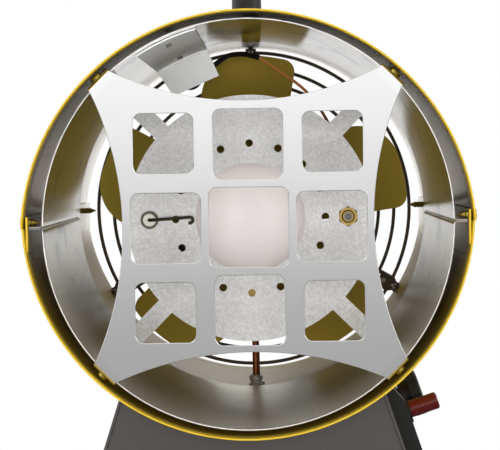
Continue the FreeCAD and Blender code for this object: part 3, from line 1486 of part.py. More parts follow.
collar_start = mm.box_thick - mm.box_wall / 2
band_start = mm.knob_reach - mm.knob_thick
spindle_end = mm.knob_reach - mm.spindle_tip
knob_bore = mm.spindle_radius + mm.running_gap
knob_outline = [
    (knob_bore, collar_start),
    (mm.knob_collar, collar_start),
    (mm.knob_collar, band_start),
    (mm.knob_radius, band_start),
    (mm.knob_radius, mm.knob_reach - mm.knob_bevel),
    (mm.knob_radius - mm.knob_bevel, mm.knob_reach),
    (0, mm.knob_reach),
    (0, spindle_end),
    (knob_bore, spindle_end),
]
knob_place = facing(knob_foot, wall_out)
knob_turned = turned_body("knob_turned", closed_lines(knob_outline), knob_place)


def knob_cuts():
    """Grooves round the knurled band and a pointer line on its face."""
    cuts = []
    for step in range(int(mm.knob_ridges)):
        angle = math.radians(360.0 * step / mm.knob_ridges)
        rim = Vector(math.cos(angle), math.sin(angle), 0) * mm.knob_radius
        cuts.append(rod(rim + Z * (band_start - 1), Z, mm.knob_ridge_radius, mm.knob_thick + 2))
    low = Vector(mm.knob_radius * 0.3, -mm.knob_ridge_radius, mm.knob_reach - mm.knob_ridge_radius)
    high = Vector(mm.knob_radius * 0.85, mm.knob_ridge_radius, mm.knob_reach + 1)
    cuts.append(block_between(low, high))
    for cut in cuts:
        cut.Placement = knob_place.multiply(cut.Placement)
    return cuts


drilled("gas_knob", knob_turned, knob_cuts())

spindle = doc.addObject("Part::Cylinder", "spindle_bar")
spindle.setExpression("Radius", "Sizes.spindle_radius")
spindle.Height = mm.spindle_root + spindle_end - mm.fit_gap
spindle.Placement = facing(on_wall(-mm.spindle_root, mm.knob_rise, mm.knob_depth), wall_out)
keep("valve_spindle", spindle)

valve_middle_up = mm.knob_rise - mm.valve_drop
valve_middle_in = -(mm.stand_sheet + mm.valve_deep / 2)


def gas_valve():
    """Block inside the wall with a neck for the spindle."""
    half = Vector(mm.valve_deep / 2, mm.valve_length / 2, mm.valve_width / 2)
    body = block_between(half * -1, half)
    body.Placement = Placement(on_wall(valve_middle_in, valve_middle_up, mm.knob_depth), wall_turn)
    neck_length = mm.stand_sheet * 2 + mm.valve_neck_reach
    neck_start = on_wall(-mm.stand_sheet * 2, mm.knob_rise, mm.knob_depth)
    neck = rod(neck_start, wall_out, mm.valve_neck, neck_length)
    bore_start = -(mm.spindle_root + mm.knob_travel + mm.spindle_room)
    bore = rod(on_wall(bore_start, mm.knob_rise, mm.knob_depth), wall_out, knob_bore, 2 * mm.knob_reach)
    return fused([body, neck]).cut(bore)


keep("gas_valve_body", feature("gas_valve", gas_valve()))


# Push button

button_place = facing(button_foot, wall_out)
bezel_top = mm.box_thick + mm.bezel_height
button_start = mm.box_thick - mm.button_root
well_floor = button_start - mm.button_travel - mm.spindle_room
button_bore = mm.button_radius + mm.running_gap
piezo_outline = [
    (0, -mm.piezo_length),
    (mm.piezo_radius, -mm.piezo_length),
    (mm.piezo_radius, mm.box_thick),
    (mm.bezel_radius, mm.box_thick),
    (mm.bezel_radius, bezel_top),
    (button_bore, bezel_top),
    (button_bore, well_floor),
    (0, well_floor),
]
turned("piezo_body", closed_lines(piezo_outline), button_place)
button_outline = [
    (0, button_start),
    (mm.button_radius, button_start),
    (mm.button_radius, mm.button_reach - mm.button_bevel),
    (mm.button_radius - mm.button_bevel, mm.button_reach),
    (0, mm.button_reach),
]
turned("piezo_button", closed_lines(button_outline), button_place)


# Gas pipes, gland and leads

casing_floor = -casing_inside(270.0)
gland_foot = at(mm.pipe_x, mm.pipe_depth, casing_floor + mm.gland_lift)
gland_bore = mm.pipe_radius + mm.fit_gap
waist_low = mm.gland_flange + mm.gland_slope
ring_low = waist_low + mm.gland_waist_height + mm.gland_slope
gland_root = -(mm.gland_lift + mm.casing_wall + mm.gland_tail)
gland_outline = [
    (gland_bore, gland_root),
    (mm.gland_neck, gland_root),
    (mm.gland_neck, 0),
    (mm.gland_radius, 0),
    (mm.gland_radius, mm.gland_flange),
    (mm.gland_waist, waist_low),
    (mm.gland_waist, waist_low + mm.gland_waist_height),
    (mm.gland_ring, ring_low),
    (mm.gland_ring, mm.gland_height - mm.gland_slope),
    (mm.gland_neck, mm.gland_height),
    (gland_bore, mm.gland_height),
]
turned("pipe_gland", closed_lines(gland_outline), Placement(gland_foot, NO_TURN))

grommet_bore = mm.spark_lead_radius + mm.fit_gap
grommet_top = mm.head_gap + mm.grommet_height
grommet_low = -(mm.casing_wall + mm.fit_gap + mm.grommet_height)
grommet_outline = [
    (grommet_bore, grommet_low),
    (mm.grommet_radius, grommet_low),
    (mm.grommet_radius, grommet_low + mm.grommet_height - mm.fit_gap),
    (mm.grommet_neck, grommet_low + mm.grommet_height - mm.fit_gap),
    (mm.grommet_neck, mm.head_gap),
    (mm.grommet_radius, mm.head_gap),
    (mm.grommet_radius, grommet_top),
    (grommet_bore, grommet_top),
]
grommet_foot = at(mm.lead_x, grommet_depth, casing_floor)
turned("lead_grommet", closed_lines(grommet_outline), Placement(grommet_foot, NO_TURN))

valve_rear = mm.knob_depth + mm.valve_length / 2 + mm.fit_gap
pipe_height = injector_top - mm.injector_height / 2
outlet = on_wall(valve_middle_in, valve_middle_up + mm.valve_port, valve_rear)
injector_rear = mm.injector_depth + mm.injector_width / 2 + mm.fit_gap
pipe_points = [
    outlet,
    outlet + Y * 40.0,
    on_floor(38.0, mm.pipe_depth - 24.0, 66.0),
    on_floor(mm.pipe_x, mm.pipe_depth, 60.0),
    at(mm.pipe_x, mm.pipe_depth, pipe_height),
    at(mm.pipe_x, injector_rear, pipe_height),
]
pipe_bends = easy_bends(pipe_points)[:-1] + [mm.pipe_bend]
keep("gas_pipe", feature("burner_pipe", tube(pipe_points, mm.pipe_radius, pipe_bends)))

inlet_start = rear_face - mm.panel_sheet - mm.inlet_root
supply = on_wall(valve_middle_in, valve_middle_up - mm.valve_port, valve_rear)
supply_points = [
    supply,
    supply + Y * 45.0,
    on_floor(mm.inlet_x, inlet_start - 70.0, mm.inlet_z),
    on_floor(mm.inlet_x, inlet_start - mm.fit_gap, mm.inlet_z),
]
supply_pipe = tube(supply_points, mm.pipe_radius, easy_bends(supply_points))
keep("supply_pipe", feature("inlet_pipe", supply_pipe))

inlet_flange = mm.inlet_root + mm.panel_sheet
inlet_end = inlet_flange + mm.inlet_collar_length + mm.inlet_length
inlet_outline = [
    (mm.inlet_bore, 0),
    (mm.inlet_radius, 0),
    (mm.inlet_radius, inlet_flange),
    (mm.inlet_collar, inlet_flange),
    (mm.inlet_collar, inlet_flange + mm.inlet_collar_length),
    (mm.inlet_radius, inlet_flange + mm.inlet_collar_length),
    (mm.inlet_radius, inlet_end),
    (mm.inlet_bore, inlet_end),
]
turned("gas_inlet", closed_lines(inlet_outline), facing(on_floor(mm.inlet_x, inlet_start, mm.inlet_z), Y))

piezo_tail = on_wall(-mm.piezo_length - mm.fit_gap, mm.button_rise, mm.button_depth)
spark_points = [
    at(electrode_at, rod_rear + mm.fit_gap, 0),
    at(electrode_at, rod_rear + 22.0, 0),
    at(-38.0, 232.0, -26.0),
    at(-12.0, mm.pipe_depth - 12.0, -46.0),
    at(mm.lead_x, grommet_depth, -72.0),
    on_floor(mm.lead_x, grommet_depth, 62.0),
    on_floor(20.0, grommet_depth - 40.0, 36.0),
    on_floor(36.0, grommet_depth - 95.0, 40.0),
    on_floor(40.0, grommet_depth - 140.0, 64.0),
    piezo_tail - wall_out * 14.0,
    piezo_tail,
]
spark_lead = tube(spark_points, mm.spark_lead_radius, easy_bends(spark_points))
keep("ignition_lead", feature("spark_lead", spark_lead))


# Mains switch and cable gland on the rear panel

switch_face = rear_face + mm.switch_rim
switch_middle = on_floor(mm.switch_x, switch_face, mm.switch_z)
well_half = Vector(mm.switch_width / 2 - mm.switch_wall, 0, mm.switch_height / 2 - mm.switch_wall)
pivot = switch_middle - Y * mm.pivot_deep


def slab(half_x, half_z, near, far):
    """Block about the switch's middle, between two depths behind its face."""
    low = switch_middle + Vector(-half_x, -far, -half_z)
    return block_between(low, switch_middle + Vector(half_x, -near, half_z))


def switch_body():
    rim = slab(mm.switch_width / 2 + mm.switch_rim, mm.switch_height / 2 + mm.switch_rim, 0, mm.switch_rim)
    case = slab(mm.switch_width / 2, mm.switch_height / 2, 0, mm.switch_rim + mm.switch_deep)
    well = slab(well_half.x, well_half.z, -1, mm.switch_well)
    bore = rod(pivot - X * mm.switch_width / 2, X, mm.pivot_radius + mm.running_gap, mm.switch_width)
    return fused([rim, case]).cut(fused([well, bore]))


keep("rocker_housing", feature("switch_case", switch_body()))


def rocker_piece():
    """Rocker with its pivot pins, resting on its upper end."""
    half_width = well_half.x - mm.rocker_gap
    half_height = well_half.z - mm.rocker_swing
    section = [
        (-mm.rocker_back, -half_height),
        (mm.rocker_crown, -half_height),
        (mm.rocker_dip, 0),
        (mm.rocker_crown, half_height),
        (-mm.rocker_back, half_height),
    ]
    points = [Vector(-half_width, y, z) for y, z in section]
    key = Part.Face(Part.makePolygon(points + points[:1])).extrude(X * (2 * half_width))
    pin_half = half_width + mm.rocker_gap + mm.switch_wall * 0.7
    piece = fused([key, rod(X * -pin_half, X, mm.pivot_radius, 2 * pin_half)])
    piece.rotate(Vector(0, 0, 0), X, mm.rocker_tilt)
    piece.translate(pivot)
    return piece


keep("rocker", feature("switch_rocker", rocker_piece()))

cable_flange = mm.cable_root + mm.panel_sheet
cable_end = cable_flange + mm.cable_cap_length
cable_outline = [
    (mm.cable_bore, 0),
    (mm.cable_body, 0),
    (mm.cable_body, cable_flange),
    (mm.cable_cap, cable_flange),
    (mm.cable_cap, cable_end - mm.cable_bevel),
    (mm.cable_cap - mm.cable_bevel, cable_end),
    (mm.cable_bore, cable_end),
]
cable_start = on_floor(mm.cable_x, rear_face - cable_flange, mm.cable_z)
turned("cable_gland", closed_lines(cable_outline), facing(cable_start, Y))


# Carrying handle

casing_top = casing_outside(90.0)
handle_axis = casing_top + mm.handle_rise


def carry_handle():
    seat = casing_top + mm.head_gap
    legs = [at(0, depth, seat) for depth in handle_feet]
    crown = [at(0, depth, handle_axis) for depth in handle_feet]
    bar = tube([legs[0], crown[0], crown[1], legs[1]], mm.handle_radius, mm.handle_bend)
    feet = [rod(leg, Z, mm.handle_foot, mm.handle_foot_height) for leg in legs]
    holes = [rod(leg, Z, burner_hole, mm.handle_screw_length) for leg in legs]
    return fused([bar] + feet).cut(Part.makeCompound(holes))


keep("carry_handle", feature("handle_bar", carry_handle()))
handle_seat = casing_inside(90.0) - mm.head_gap
handle_set = [
    screw(at(0, depth, handle_seat), Z, mm.small_screw_radius, mm.handle_screw_length, *small_size)
    for depth in handle_feet
]
keep("handle_screws", feature("handle_screw_set", Part.makeCompound(handle_set)))


# Check every object, then write each sub-part

doc.recompute()
for item in doc.Objects:
    if "Invalid" in item.State or "Error" in item.State:
        raise ValueError("%s failed: %s" % (item.Name, item.State))
for label, item in nodes.items():
    if item.Shape.isNull() or not item.Shape.isValid() or not item.Shape.Solids:
        raise ValueError(label + " has no valid solid")

os.makedirs("parts", exist_ok=True)
for label, item in nodes.items():
    item.Shape.exportStep("parts/" + label + ".step")
print(len(nodes), "sub-parts")
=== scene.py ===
"""Looks of a gas forced air heater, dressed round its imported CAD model."""

import math

import bmesh
import bpy
from bpy.props import FloatProperty, FloatVectorProperty, PointerProperty
from mathutils import Matrix, Vector


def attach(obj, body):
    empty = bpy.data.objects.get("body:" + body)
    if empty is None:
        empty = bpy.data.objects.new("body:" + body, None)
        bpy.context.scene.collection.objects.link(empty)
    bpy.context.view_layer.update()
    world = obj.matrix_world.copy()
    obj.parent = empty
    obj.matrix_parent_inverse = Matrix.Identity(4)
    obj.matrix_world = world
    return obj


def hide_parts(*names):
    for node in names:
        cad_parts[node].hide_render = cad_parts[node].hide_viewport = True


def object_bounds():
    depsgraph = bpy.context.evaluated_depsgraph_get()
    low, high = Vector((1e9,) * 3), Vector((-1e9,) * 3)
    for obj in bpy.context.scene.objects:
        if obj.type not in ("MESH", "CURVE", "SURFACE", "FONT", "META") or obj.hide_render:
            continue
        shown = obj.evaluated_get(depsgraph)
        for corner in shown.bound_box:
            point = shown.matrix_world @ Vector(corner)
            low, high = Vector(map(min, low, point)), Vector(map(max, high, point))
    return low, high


bl_info = {
    "name": "Gas forced air heater",
    "version": (1, 0, 0),
    "blender": (4, 5, 0),
    "location": "View3D > Sidebar > Heater",
    "description": "Sheet metal, burner, fan, controls and studio of a small gas heater",
    "category": "Object",
}

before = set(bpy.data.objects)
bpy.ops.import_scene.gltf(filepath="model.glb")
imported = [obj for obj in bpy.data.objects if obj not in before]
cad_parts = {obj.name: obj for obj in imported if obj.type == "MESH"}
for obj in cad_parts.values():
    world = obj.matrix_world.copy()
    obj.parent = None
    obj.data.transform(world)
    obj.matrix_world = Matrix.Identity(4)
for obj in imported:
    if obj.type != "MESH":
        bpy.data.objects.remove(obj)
CAD_LOW, CAD_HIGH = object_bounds()

MM = 0.001
# Height of the barrel's axis, where its halves meet
SPLIT = 0.205
# Front edge of the casing's hem
FRONT = CAD_LOW.y
DIAGONALS = [math.radians(angle) for angle in (45, 135, 225, 315)]
# Points closer than this are the same
TOUCH = 0.01 * MM
# Steps along the arc of a half shell
ARC_STEPS = 128
# Space between the hem and the lap strips
HEM_GAP = 0.2 * MM


def paint(red, green, blue):
    """Linear colour of screen values from 0 to 255."""
    linear = []
    for value in (red, green, blue):
        share = value / 255
        linear.append(share / 12.92 if share <= 0.04045 else ((share + 0.055) / 1.055) ** 2.4)
    return tuple(linear)


# Settings

def length_setting(name, description, millimetres):
    return FloatProperty(
        name=name, description=description, default=millimetres * MM,
        min=0.0, subtype="DISTANCE", unit="LENGTH", precision=5,
    )


def colour_setting(name, description, colour):
    return FloatVectorProperty(
        name=name, description=description, default=colour,
        min=0.0, max=1.0, size=3, subtype="COLOR",
    )


def share_setting(name, description, share):
    return FloatProperty(
        name=name, description=description, default=share, min=0.0, max=1.0, subtype="FACTOR",
    )


def angle_setting(name, description, degrees):
    return FloatProperty(
        name=name, description=description, default=math.radians(degrees),
        subtype="ANGLE", unit="ROTATION",
    )


def power_setting(name, watts):
    return FloatProperty(name=name, description="Power in watts", default=watts, min=0.0)


class SheetSizes(bpy.types.PropertyGroup):
    """Sizes of the sheet metal pieces that are modelled here."""

    casing_radius: length_setting("Casing radius", "Outer radius of each half of the casing", 116.0)
    casing_offset: length_setting("Casing offset", "Arc centre of each half past the split", 5.6)
    upper_swell: length_setting("Upper half", "How far the upper half stands over the lower one", 0.7)
    casing_wall: length_setting("Casing sheet", "Thickness of the casing", 1.0)
    hem_wall: length_setting("Hem", "Thickness of the folded front hem", 0.95)
    hem_length: length_setting("Hem depth", "Depth of the folded front hem", 5.0)
    lap_height: length_setting("Lap", "Lower half's strip above the split", 6.0)
    lap_root: length_setting("Lap root", "Lower half's strip below the split", 12.0)
    lap_reach: length_setting("Lap place", "Axis to the outer face of a lap strip", 114.21)
    liner_front: length_setting("Liner front", "Liner's front edge behind the hem", 9.5)
    liner_length: length_setting("Liner length", "Liner along the barrel", 242.5)
    liner_radius: length_setting("Liner radius", "Outer radius of the liner", 106.5)
    liner_wall: length_setting("Liner sheet", "Thickness of the liner", 0.8)
    liner_fold: length_setting("Liner fold", "Radius between the liner and its flange", 1.6)
    flange_reach: length_setting("Flange", "Axis to the tip of a liner flange", 112.91)
    plate_front: length_setting("Deflector", "Deflector's front behind the hem", 6.0)
    plate_sheet: length_setting("Deflector sheet", "Thickness of the deflector", 1.0)
    plate_corner: length_setting("Deflector corner", "Axis to the outer face of a corner tab", 107.7)
    plate_tab_width: length_setting("Tab width", "Width of a corner tab", 15.0)
    plate_tab_depth: length_setting("Tab depth", "Deflector's front to a tab's end", 15.0)
    plate_fold: length_setting("Tab fold", "Radius at the middle of a tab's fold", 1.5)
    plate_sag: length_setting("Hollow side", "Hollow of each side of the deflector", 15.4)
    plate_low: length_setting("Low sides", "How far the hollow sides lie below the axis", 0.8)
    plate_right: length_setting("Shift", "How far the windows lie to the right", 0.4)
    plate_turn: angle_setting("Turn", "Clockwise turn of the windows", 0.25)
    plate_drop: length_setting("Drop", "How far the windows lie below the axis", 1.2)
    corner_step: length_setting("Corner step", "Axis to the corner windows, across and up", 43.45)
    side_step: length_setting("Side step", "Axis to a window in the middle of a side", 42.7)
    window_corner: length_setting("Corner window", "Side of a corner window", 31.0)
    window_side: length_setting("Side window", "Side of a window in the middle of a side", 36.0)
    window_middle: length_setting("Middle window", "Side of the middle window", 41.0)
    window_round: length_setting("Window round", "Corner radius of a window", 4.2)


class SensorSizes(bpy.types.PropertyGroup):
    """Sizes of the flame sensor's turned nut."""

    across: length_setting("Place", "Sensor to the right of the axis", 55.8)
    foot: length_setting("Foot", "Nut's seat behind the hem", 150.0)
    flats: length_setting("Flats", "Nut across its flats", 10.0)
    height: length_setting("Height", "Nut over its seat", 4.5)
    chamfer: length_setting("Chamfer", "Turned corners of the nut", 0.8)
    bore: length_setting("Bore", "Radius of the bore", 2.5)
    ring: length_setting("Ring", "Radius of the ring round the bore", 3.1)
    ring_rise: length_setting("Ring rise", "Ring over the nut's face", 0.9)
    groove: length_setting("Groove", "Outer radius of the groove round the ring", 3.85)
    groove_depth: length_setting("Groove depth", "Groove under the nut's face", 2.2)


class FinishColours(bpy.types.PropertyGroup):
    """Colours of the finishes."""

    casing_yellow: colour_setting("Casing", "Yellow paint of the casing", paint(214, 179, 40))
    casing_inside: colour_setting("Casing inside", "Bare inner face of the casing", paint(224, 213, 200))
    liner_bright: colour_setting("Liner", "Bright sheet of the liner", paint(206, 202, 194))
    plate_satin: colour_setting("Deflector", "Satin sheet of the deflector", paint(252, 252, 252))
    zinc: colour_setting("Zinc", "Galvanised sheet", paint(241, 240, 239))
    # Painted light: a whiter, matt copy of the zinc, so the bracket looks lit
    bracket_lit_zinc: colour_setting("Bracket", "Smooth zinc of the thermostat bracket", paint(252, 254, 253))
    bowl_pale: colour_setting("Bowl", "Pale enamel of the burner bowl", paint(246, 241, 240))
    ceramic_white: colour_setting("Ceramic", "Electrode insulator", paint(226, 222, 214))
    plated_steel: colour_setting("Steel", "Zinc plated steel", paint(190, 187, 180))
    ferrule_steel: colour_setting("Ferrule", "Electrode ferrule", paint(128, 121, 106))
    heat_steel: colour_setting("Dark steel", "Heat darkened steel", paint(92, 85, 68))
    yellow_zinc: colour_setting("Yellow zinc", "Yellow passivated screws", paint(196, 178, 84))
    brass: colour_setting("Brass", "Machined brass", paint(244, 206, 122))
    copper: colour_setting("Copper", "Drawn copper", paint(214, 132, 84))
    lead_brown: colour_setting("Lead", "Enamelled copper lead", paint(190, 120, 66))
    # Painted shade: the fan's yellow paint darkened to a dull tone, as if in shade
    fan_olive: colour_setting("Fan", "Olive paint of the fan", paint(164, 141, 55))
    guard_black: colour_setting("Guard", "Black coating of the guard", paint(72, 63, 53))
    stand_grey: colour_setting("Stand", "Grey paint of the stand", paint(72, 69, 69))
    black_plastic: colour_setting("Plastic", "Black moulded plastic", paint(18, 17, 16))
    red_plastic: colour_setting("Button", "Red moulded plastic", paint(80, 12, 10))
    rubber: colour_setting("Rubber", "Moulded rubber", paint(38, 37, 36))
    motor_grey: colour_setting("Motor", "Paint of the motor", paint(84, 84, 86))


class StudioSettings(bpy.types.PropertyGroup):
    """Camera, lamps and floor."""

    lens: FloatProperty(name="Lens", description="Focal length in millimetres", default=172.8, min=1.0)
    eye_x: length_setting("Eye, right", "Camera to the right of the barrel's axis", 12.2)
    eye_distance: length_setting("Eye distance", "Camera in front of the casing's hem", 1224.0)
    eye_height: length_setting("Eye height", "Camera above the floor", 238.2)
    pitch: angle_setting("Pitch", "Camera tilt below the horizon", 1.551)
    yaw: angle_setting("Yaw", "Camera turn to the left", 0.525)
    roll: angle_setting("Roll", "Camera roll to the right", 1.1)
    ambient: share_setting("Ambient", "Light that the room gives to matt surfaces", 0.36)
    horizon: share_setting("Horizon", "Brightness of the room at eye level in mirrors", 0.70)
    near_floor: share_setting("Near floor", "Brightness of the floor before the object in mirrors", 0.39)
    key_power: power_setting("Key lamp", 12.0)
    fill_power: power_setting("Fill lamps", 15.0)
    front_power: power_setting("Front lamp", 27.5)
    floor_colour: colour_setting("Floor", "Pale floor", paint(184, 184, 184))


# Shader expressions

class Field:
    """A shader value that Python's operators work on."""

    def __init__(self, finish, socket):
        self.finish = finish
        self.socket = socket

    def math(self, operation, *values):
        node = self.finish.node("ShaderNodeMath", {"operation": operation}, dict(enumerate(values)))
        return Field(self.finish, node.outputs[0])

    def __add__(self, other):
        return self.math("ADD", self, other)

    def __radd__(self, other):
        return self.math("ADD", other, self)

    def __sub__(self, other):
        return self.math("SUBTRACT", self, other)

    def __rsub__(self, other):
        return self.math("SUBTRACT", other, self)

    def __mul__(self, other):
        return self.math("MULTIPLY", self, other)

    def __rmul__(self, other):
        return self.math("MULTIPLY", other, self)

    def __lt__(self, other):
        return self.math("LESS_THAN", self, other)

    def __gt__(self, other):
        return self.math("GREATER_THAN", self, other)

    def __abs__(self):
        return self.math("ABSOLUTE", self)

    def root(self):
        return self.math("SQRT", self)

    def larger(self, other):
        return self.math("MAXIMUM", self, other)

    def angle_to(self, other):
        return self.math("ARCTAN2", self, other)

    def between(self, low, high):
        """Smooth step from 0 at low to 1 at high."""
        settings = {"interpolation_type": "SMOOTHSTEP"}
        sockets = {"Value": self, "From Min": low, "From Max": high}
        return Field(self.finish, self.finish.node("ShaderNodeMapRange", settings, sockets).outputs[0])


class Sketch:
    """A node tree under construction."""

    def __init__(self, owner):
        owner.use_nodes = True
        self.tree = owner.node_tree

    def node(self, kind, settings=None, sockets=None):
        made = self.tree.nodes.new(kind)
        for key, value in (settings or {}).items():
            setattr(made, key, value)
        for key, value in (sockets or {}).items():
            self.feed(made.inputs[key], value)
        return made

    def feed(self, socket, value):
        if isinstance(value, Field):
            self.tree.links.new(value.socket, socket)
        elif hasattr(value, "is_output"):
            self.tree.links.new(value, socket)
        elif socket.type == "RGBA" and len(value) == 3:
            socket.default_value = (*value, 1.0)
        else:
            socket.default_value = value

    def light_path(self, kind):
        """1 on rays of a kind, such as Is Camera Ray."""
        return Field(self, self.node("ShaderNodeLightPath").outputs[kind])


class Finish(Sketch):
    """A material whose Principled shader is fed by expressions."""

    def __init__(self, name):
        self.material = bpy.data.materials.new(name)
        super().__init__(self.material)
        self.shader = self.tree.nodes["Principled BSDF"]
        self.output = self.tree.nodes["Material Output"]

    def place(self):
        """Object coordinates."""
        return self.node("ShaderNodeTexCoord").outputs["Object"]

    def stretched(self, scale):
        """Object coordinates, scaled along each axis."""
        sockets = {"Vector": self.place(), "Scale": scale}
        return self.node("ShaderNodeMapping", None, sockets).outputs["Vector"]

    def axes(self):
        """X, Y and Z as values."""
        split = self.node("ShaderNodeSeparateXYZ", None, {0: self.place()})
        return [Field(self, output) for output in split.outputs]

    def from_line(self, right):
        """Distance from a line along the barrel, to the right of its axis."""
        x, z = self.axes()[::2]
        across = x - right
        up = z - SPLIT
        return (across * across + up * up).root()

    def vector(self, x, y, z):
        return self.node("ShaderNodeCombineXYZ", None, {0: x, 1: y, 2: z}).outputs[0]

    def noise(self, vector, scale, detail=3.0, roughness=0.5):
        sockets = {"Vector": vector, "Scale": scale, "Detail": detail, "Roughness": roughness}
        return Field(self, self.node("ShaderNodeTexNoise", None, sockets).outputs["Fac"])

    def cells(self, vector, scale):
        """Random colour of each crystal."""
        sockets = {"Vector": vector, "Scale": scale}
        return self.node("ShaderNodeTexVoronoi", None, sockets).outputs["Color"]

    def grey(self, colour):
        return Field(self, self.node("ShaderNodeRGBToBW", None, {0: colour}).outputs[0])

    def mix(self, factor, first, second, blend="MIX"):
        """First colour at factor 0, second at factor 1."""
        settings = {"data_type": "RGBA", "blend_type": blend}
        return self.node("ShaderNodeMix", settings, {0: factor, 6: first, 7: second}).outputs[2]

    def shaded(self, colour, amount, low, high):
        """Colour made darker or lighter: amount from 0 to 1 spans the factors low to high."""
        dark = [channel * low for channel in colour]
        light = [min(1.0, channel * high) for channel in colour]
        return self.mix(amount, dark, light)

    def bump(self, height, strength, distance):
        sockets = {"Height": height, "Strength": strength, "Distance": distance}
        return self.node("ShaderNodeBump", None, sockets).outputs["Normal"]

    def surface(self, **sockets):
        """Feed the shader: names are its sockets with underscores."""
        for name, value in sockets.items():
            self.feed(self.shader.inputs[name.replace("_", " ")], value)
        return self.material


# Finishes

def casing_paint(colours, sizes):
    """Yellow paint outside and round the hem; inside, bare sheet and yellow spray darkened as painted
    shade.
    """
    finish = Finish("casing_paint")
    x, y, z = finish.axes()
    swell = (z > SPLIT) * sizes.upper_swell
    from_centre = abs(z - SPLIT) + sizes.casing_offset + swell
    radius = (x * x + from_centre * from_centre).root()
    behind_hem = y > FRONT + sizes.hem_length + HEM_GAP
    inner = (radius - swell < sizes.casing_radius - sizes.casing_wall / 2) * behind_hem
    upper = (z - SPLIT).between(-30 * MM, -5 * MM)
    # Where the inside carries yellow spray: the whole lower half, and the upper half near the hem
    overspray_and_shade = inner * (1 - (y - FRONT).between(3 * MM, 34 * MM) * upper)
    mottle = finish.noise(finish.place(), scale=14.0, detail=4.0)
    peel = finish.noise(finish.place(), scale=620.0, detail=2.0)
    streak = finish.noise(finish.stretched((160.0, 3.0, 160.0)), scale=1.0, detail=4.0, roughness=0.6)
    yellow = finish.shaded(colours.casing_yellow, mottle, low=0.94, high=1.04)
    bare = finish.shaded(colours.casing_inside, streak, low=0.92, high=1.04)
    # Painted shade: the yellow paint darkened for the spray inside the casing, as if it lay in shade
    shaded_yellow = [channel * 0.64 + 0.02 for channel in colours.casing_yellow]
    inside = finish.mix(overspray_and_shade, bare, shaded_yellow)
    metal = inner * (1 - overspray_and_shade)
    return finish.surface(
        Base_Color=finish.mix(inner, yellow, inside),
        Metallic=metal * 0.85,
        Roughness=0.33 - metal * 0.12 + (mottle - 0.5) * 0.06,
        Specular_IOR_Level=0.3,
        Coat_Weight=(1 - inner) * 0.22,
        Coat_Roughness=0.12,
        Normal=finish.bump(peel * (1 - inner), strength=0.10, distance=0.12 * MM),
    )


def liner_sheet(colours, sizes):
    """Bright rolled sheet: fine streaks round the barrel, blue-grey stains, pale cut edge, and a warm tint
    on the lower half as painted reflection.
    """
    finish = Finish("liner_sheet")
    x, y, z = finish.axes()
    up = z - SPLIT
    turn = up.angle_to(x)
    rolled = finish.noise(finish.vector(turn * 3.0, y * 46.0, 0.0), scale=1.0, detail=5.0, roughness=0.62)
    lines = finish.noise(finish.vector(turn * 5.0, y * 900.0, 1.7), scale=1.0, detail=3.0, roughness=0.55)
    stain = finish.noise(finish.vector(turn * 5.0, y * 26.0, 4.2), scale=1.0, detail=4.0, roughness=0.55)
    base = finish.shaded(colours.liner_bright, rolled * 0.7 + lines * 0.3, low=0.86, high=1.06)
    blue = finish.mix(1.0, base, paint(176, 190, 208), "MULTIPLY")
    low = (SPLIT - z).between(-30 * MM, 50 * MM)
    inner_half = (x * x + up * up).root() < sizes.liner_radius - sizes.liner_wall * 0.6
    cut_edge = (y < FRONT + sizes.liner_front + sizes.liner_wall / 4) * inner_half
    # Painted reflection: the lower half is tinted warm, as if it reflected the fan and the yellow hem
    warm_reflection_tint = finish.mix(1.0, base, paint(240, 236, 218), "MULTIPLY")
    stained = stain.between(0.56, 0.61) * (1 - low * 0.8)
    sheet = finish.mix(stained, finish.mix(low, base, warm_reflection_tint), blue)
    return finish.surface(
        Base_Color=finish.mix(cut_edge, sheet, colours.zinc),
        Metallic=1 - cut_edge,
        Roughness=0.07 + lines * 0.04 + stain * 0.05 + low * 0.18,
        Normal=finish.bump(rolled, strength=0.02, distance=0.20 * MM),
    )


def deflector_sheet(colours):
    """Satin sheet with a very fine grain across."""
    finish = Finish("deflector_sheet")
    grain = finish.noise(finish.stretched((90.0, 90.0, 1900.0)), scale=1.0, detail=3.0, roughness=0.6)
    smear = finish.noise(finish.place(), scale=16.0, detail=3.0)
    return finish.surface(
        Base_Color=finish.shaded(colours.plate_satin, smear * 0.5 + grain * 0.5, low=0.93, high=1.02),
        Metallic=1.0,
        Roughness=0.08 + grain * 0.03 + smear * 0.02,
        Normal=finish.bump(grain, strength=0.02, distance=0.02 * MM),
    )


def zinc_sheet(name, colour, contrast, metallic):
    """Galvanised sheet: small crystals of different brightness."""
    finish = Finish(name)
    flakes = finish.grey(finish.cells(finish.stretched((1.0, 0.4, 1.0)), 1300.0))
    spangle = finish.grey(finish.cells(finish.place(), 560.0))
    cloud = finish.noise(finish.place(), scale=60.0, detail=4.0)
    tone = flakes * 0.45 + spangle * 0.33 + cloud * 0.22
    return finish.surface(
        Base_Color=finish.shaded(colour, tone.between(0.2, 0.8), low=1 - contrast, high=1 + contrast / 2),
        Metallic=metallic,
        Roughness=0.34 + flakes * 0.14 + cloud * 0.06,
        Normal=finish.bump(flakes, strength=0.06, distance=0.03 * MM),
    )


def bowl_enamel(colours):
    """Smooth pale enamel with faint bands round the bowl."""
    finish = Finish("bowl_enamel")
    y = finish.axes()[1]
    bands = finish.noise(finish.vector(0.0, y * 120.0, 0.0), scale=1.0, detail=2.0)
    cloud = finish.noise(finish.place(), scale=28.0, detail=3.0)
    return finish.surface(
        Base_Color=finish.shaded(colours.bowl_pale, bands * 0.5 + cloud * 0.5, low=0.95, high=1.03),
        Metallic=0.10,
        Roughness=0.34 + cloud * 0.06,
    )


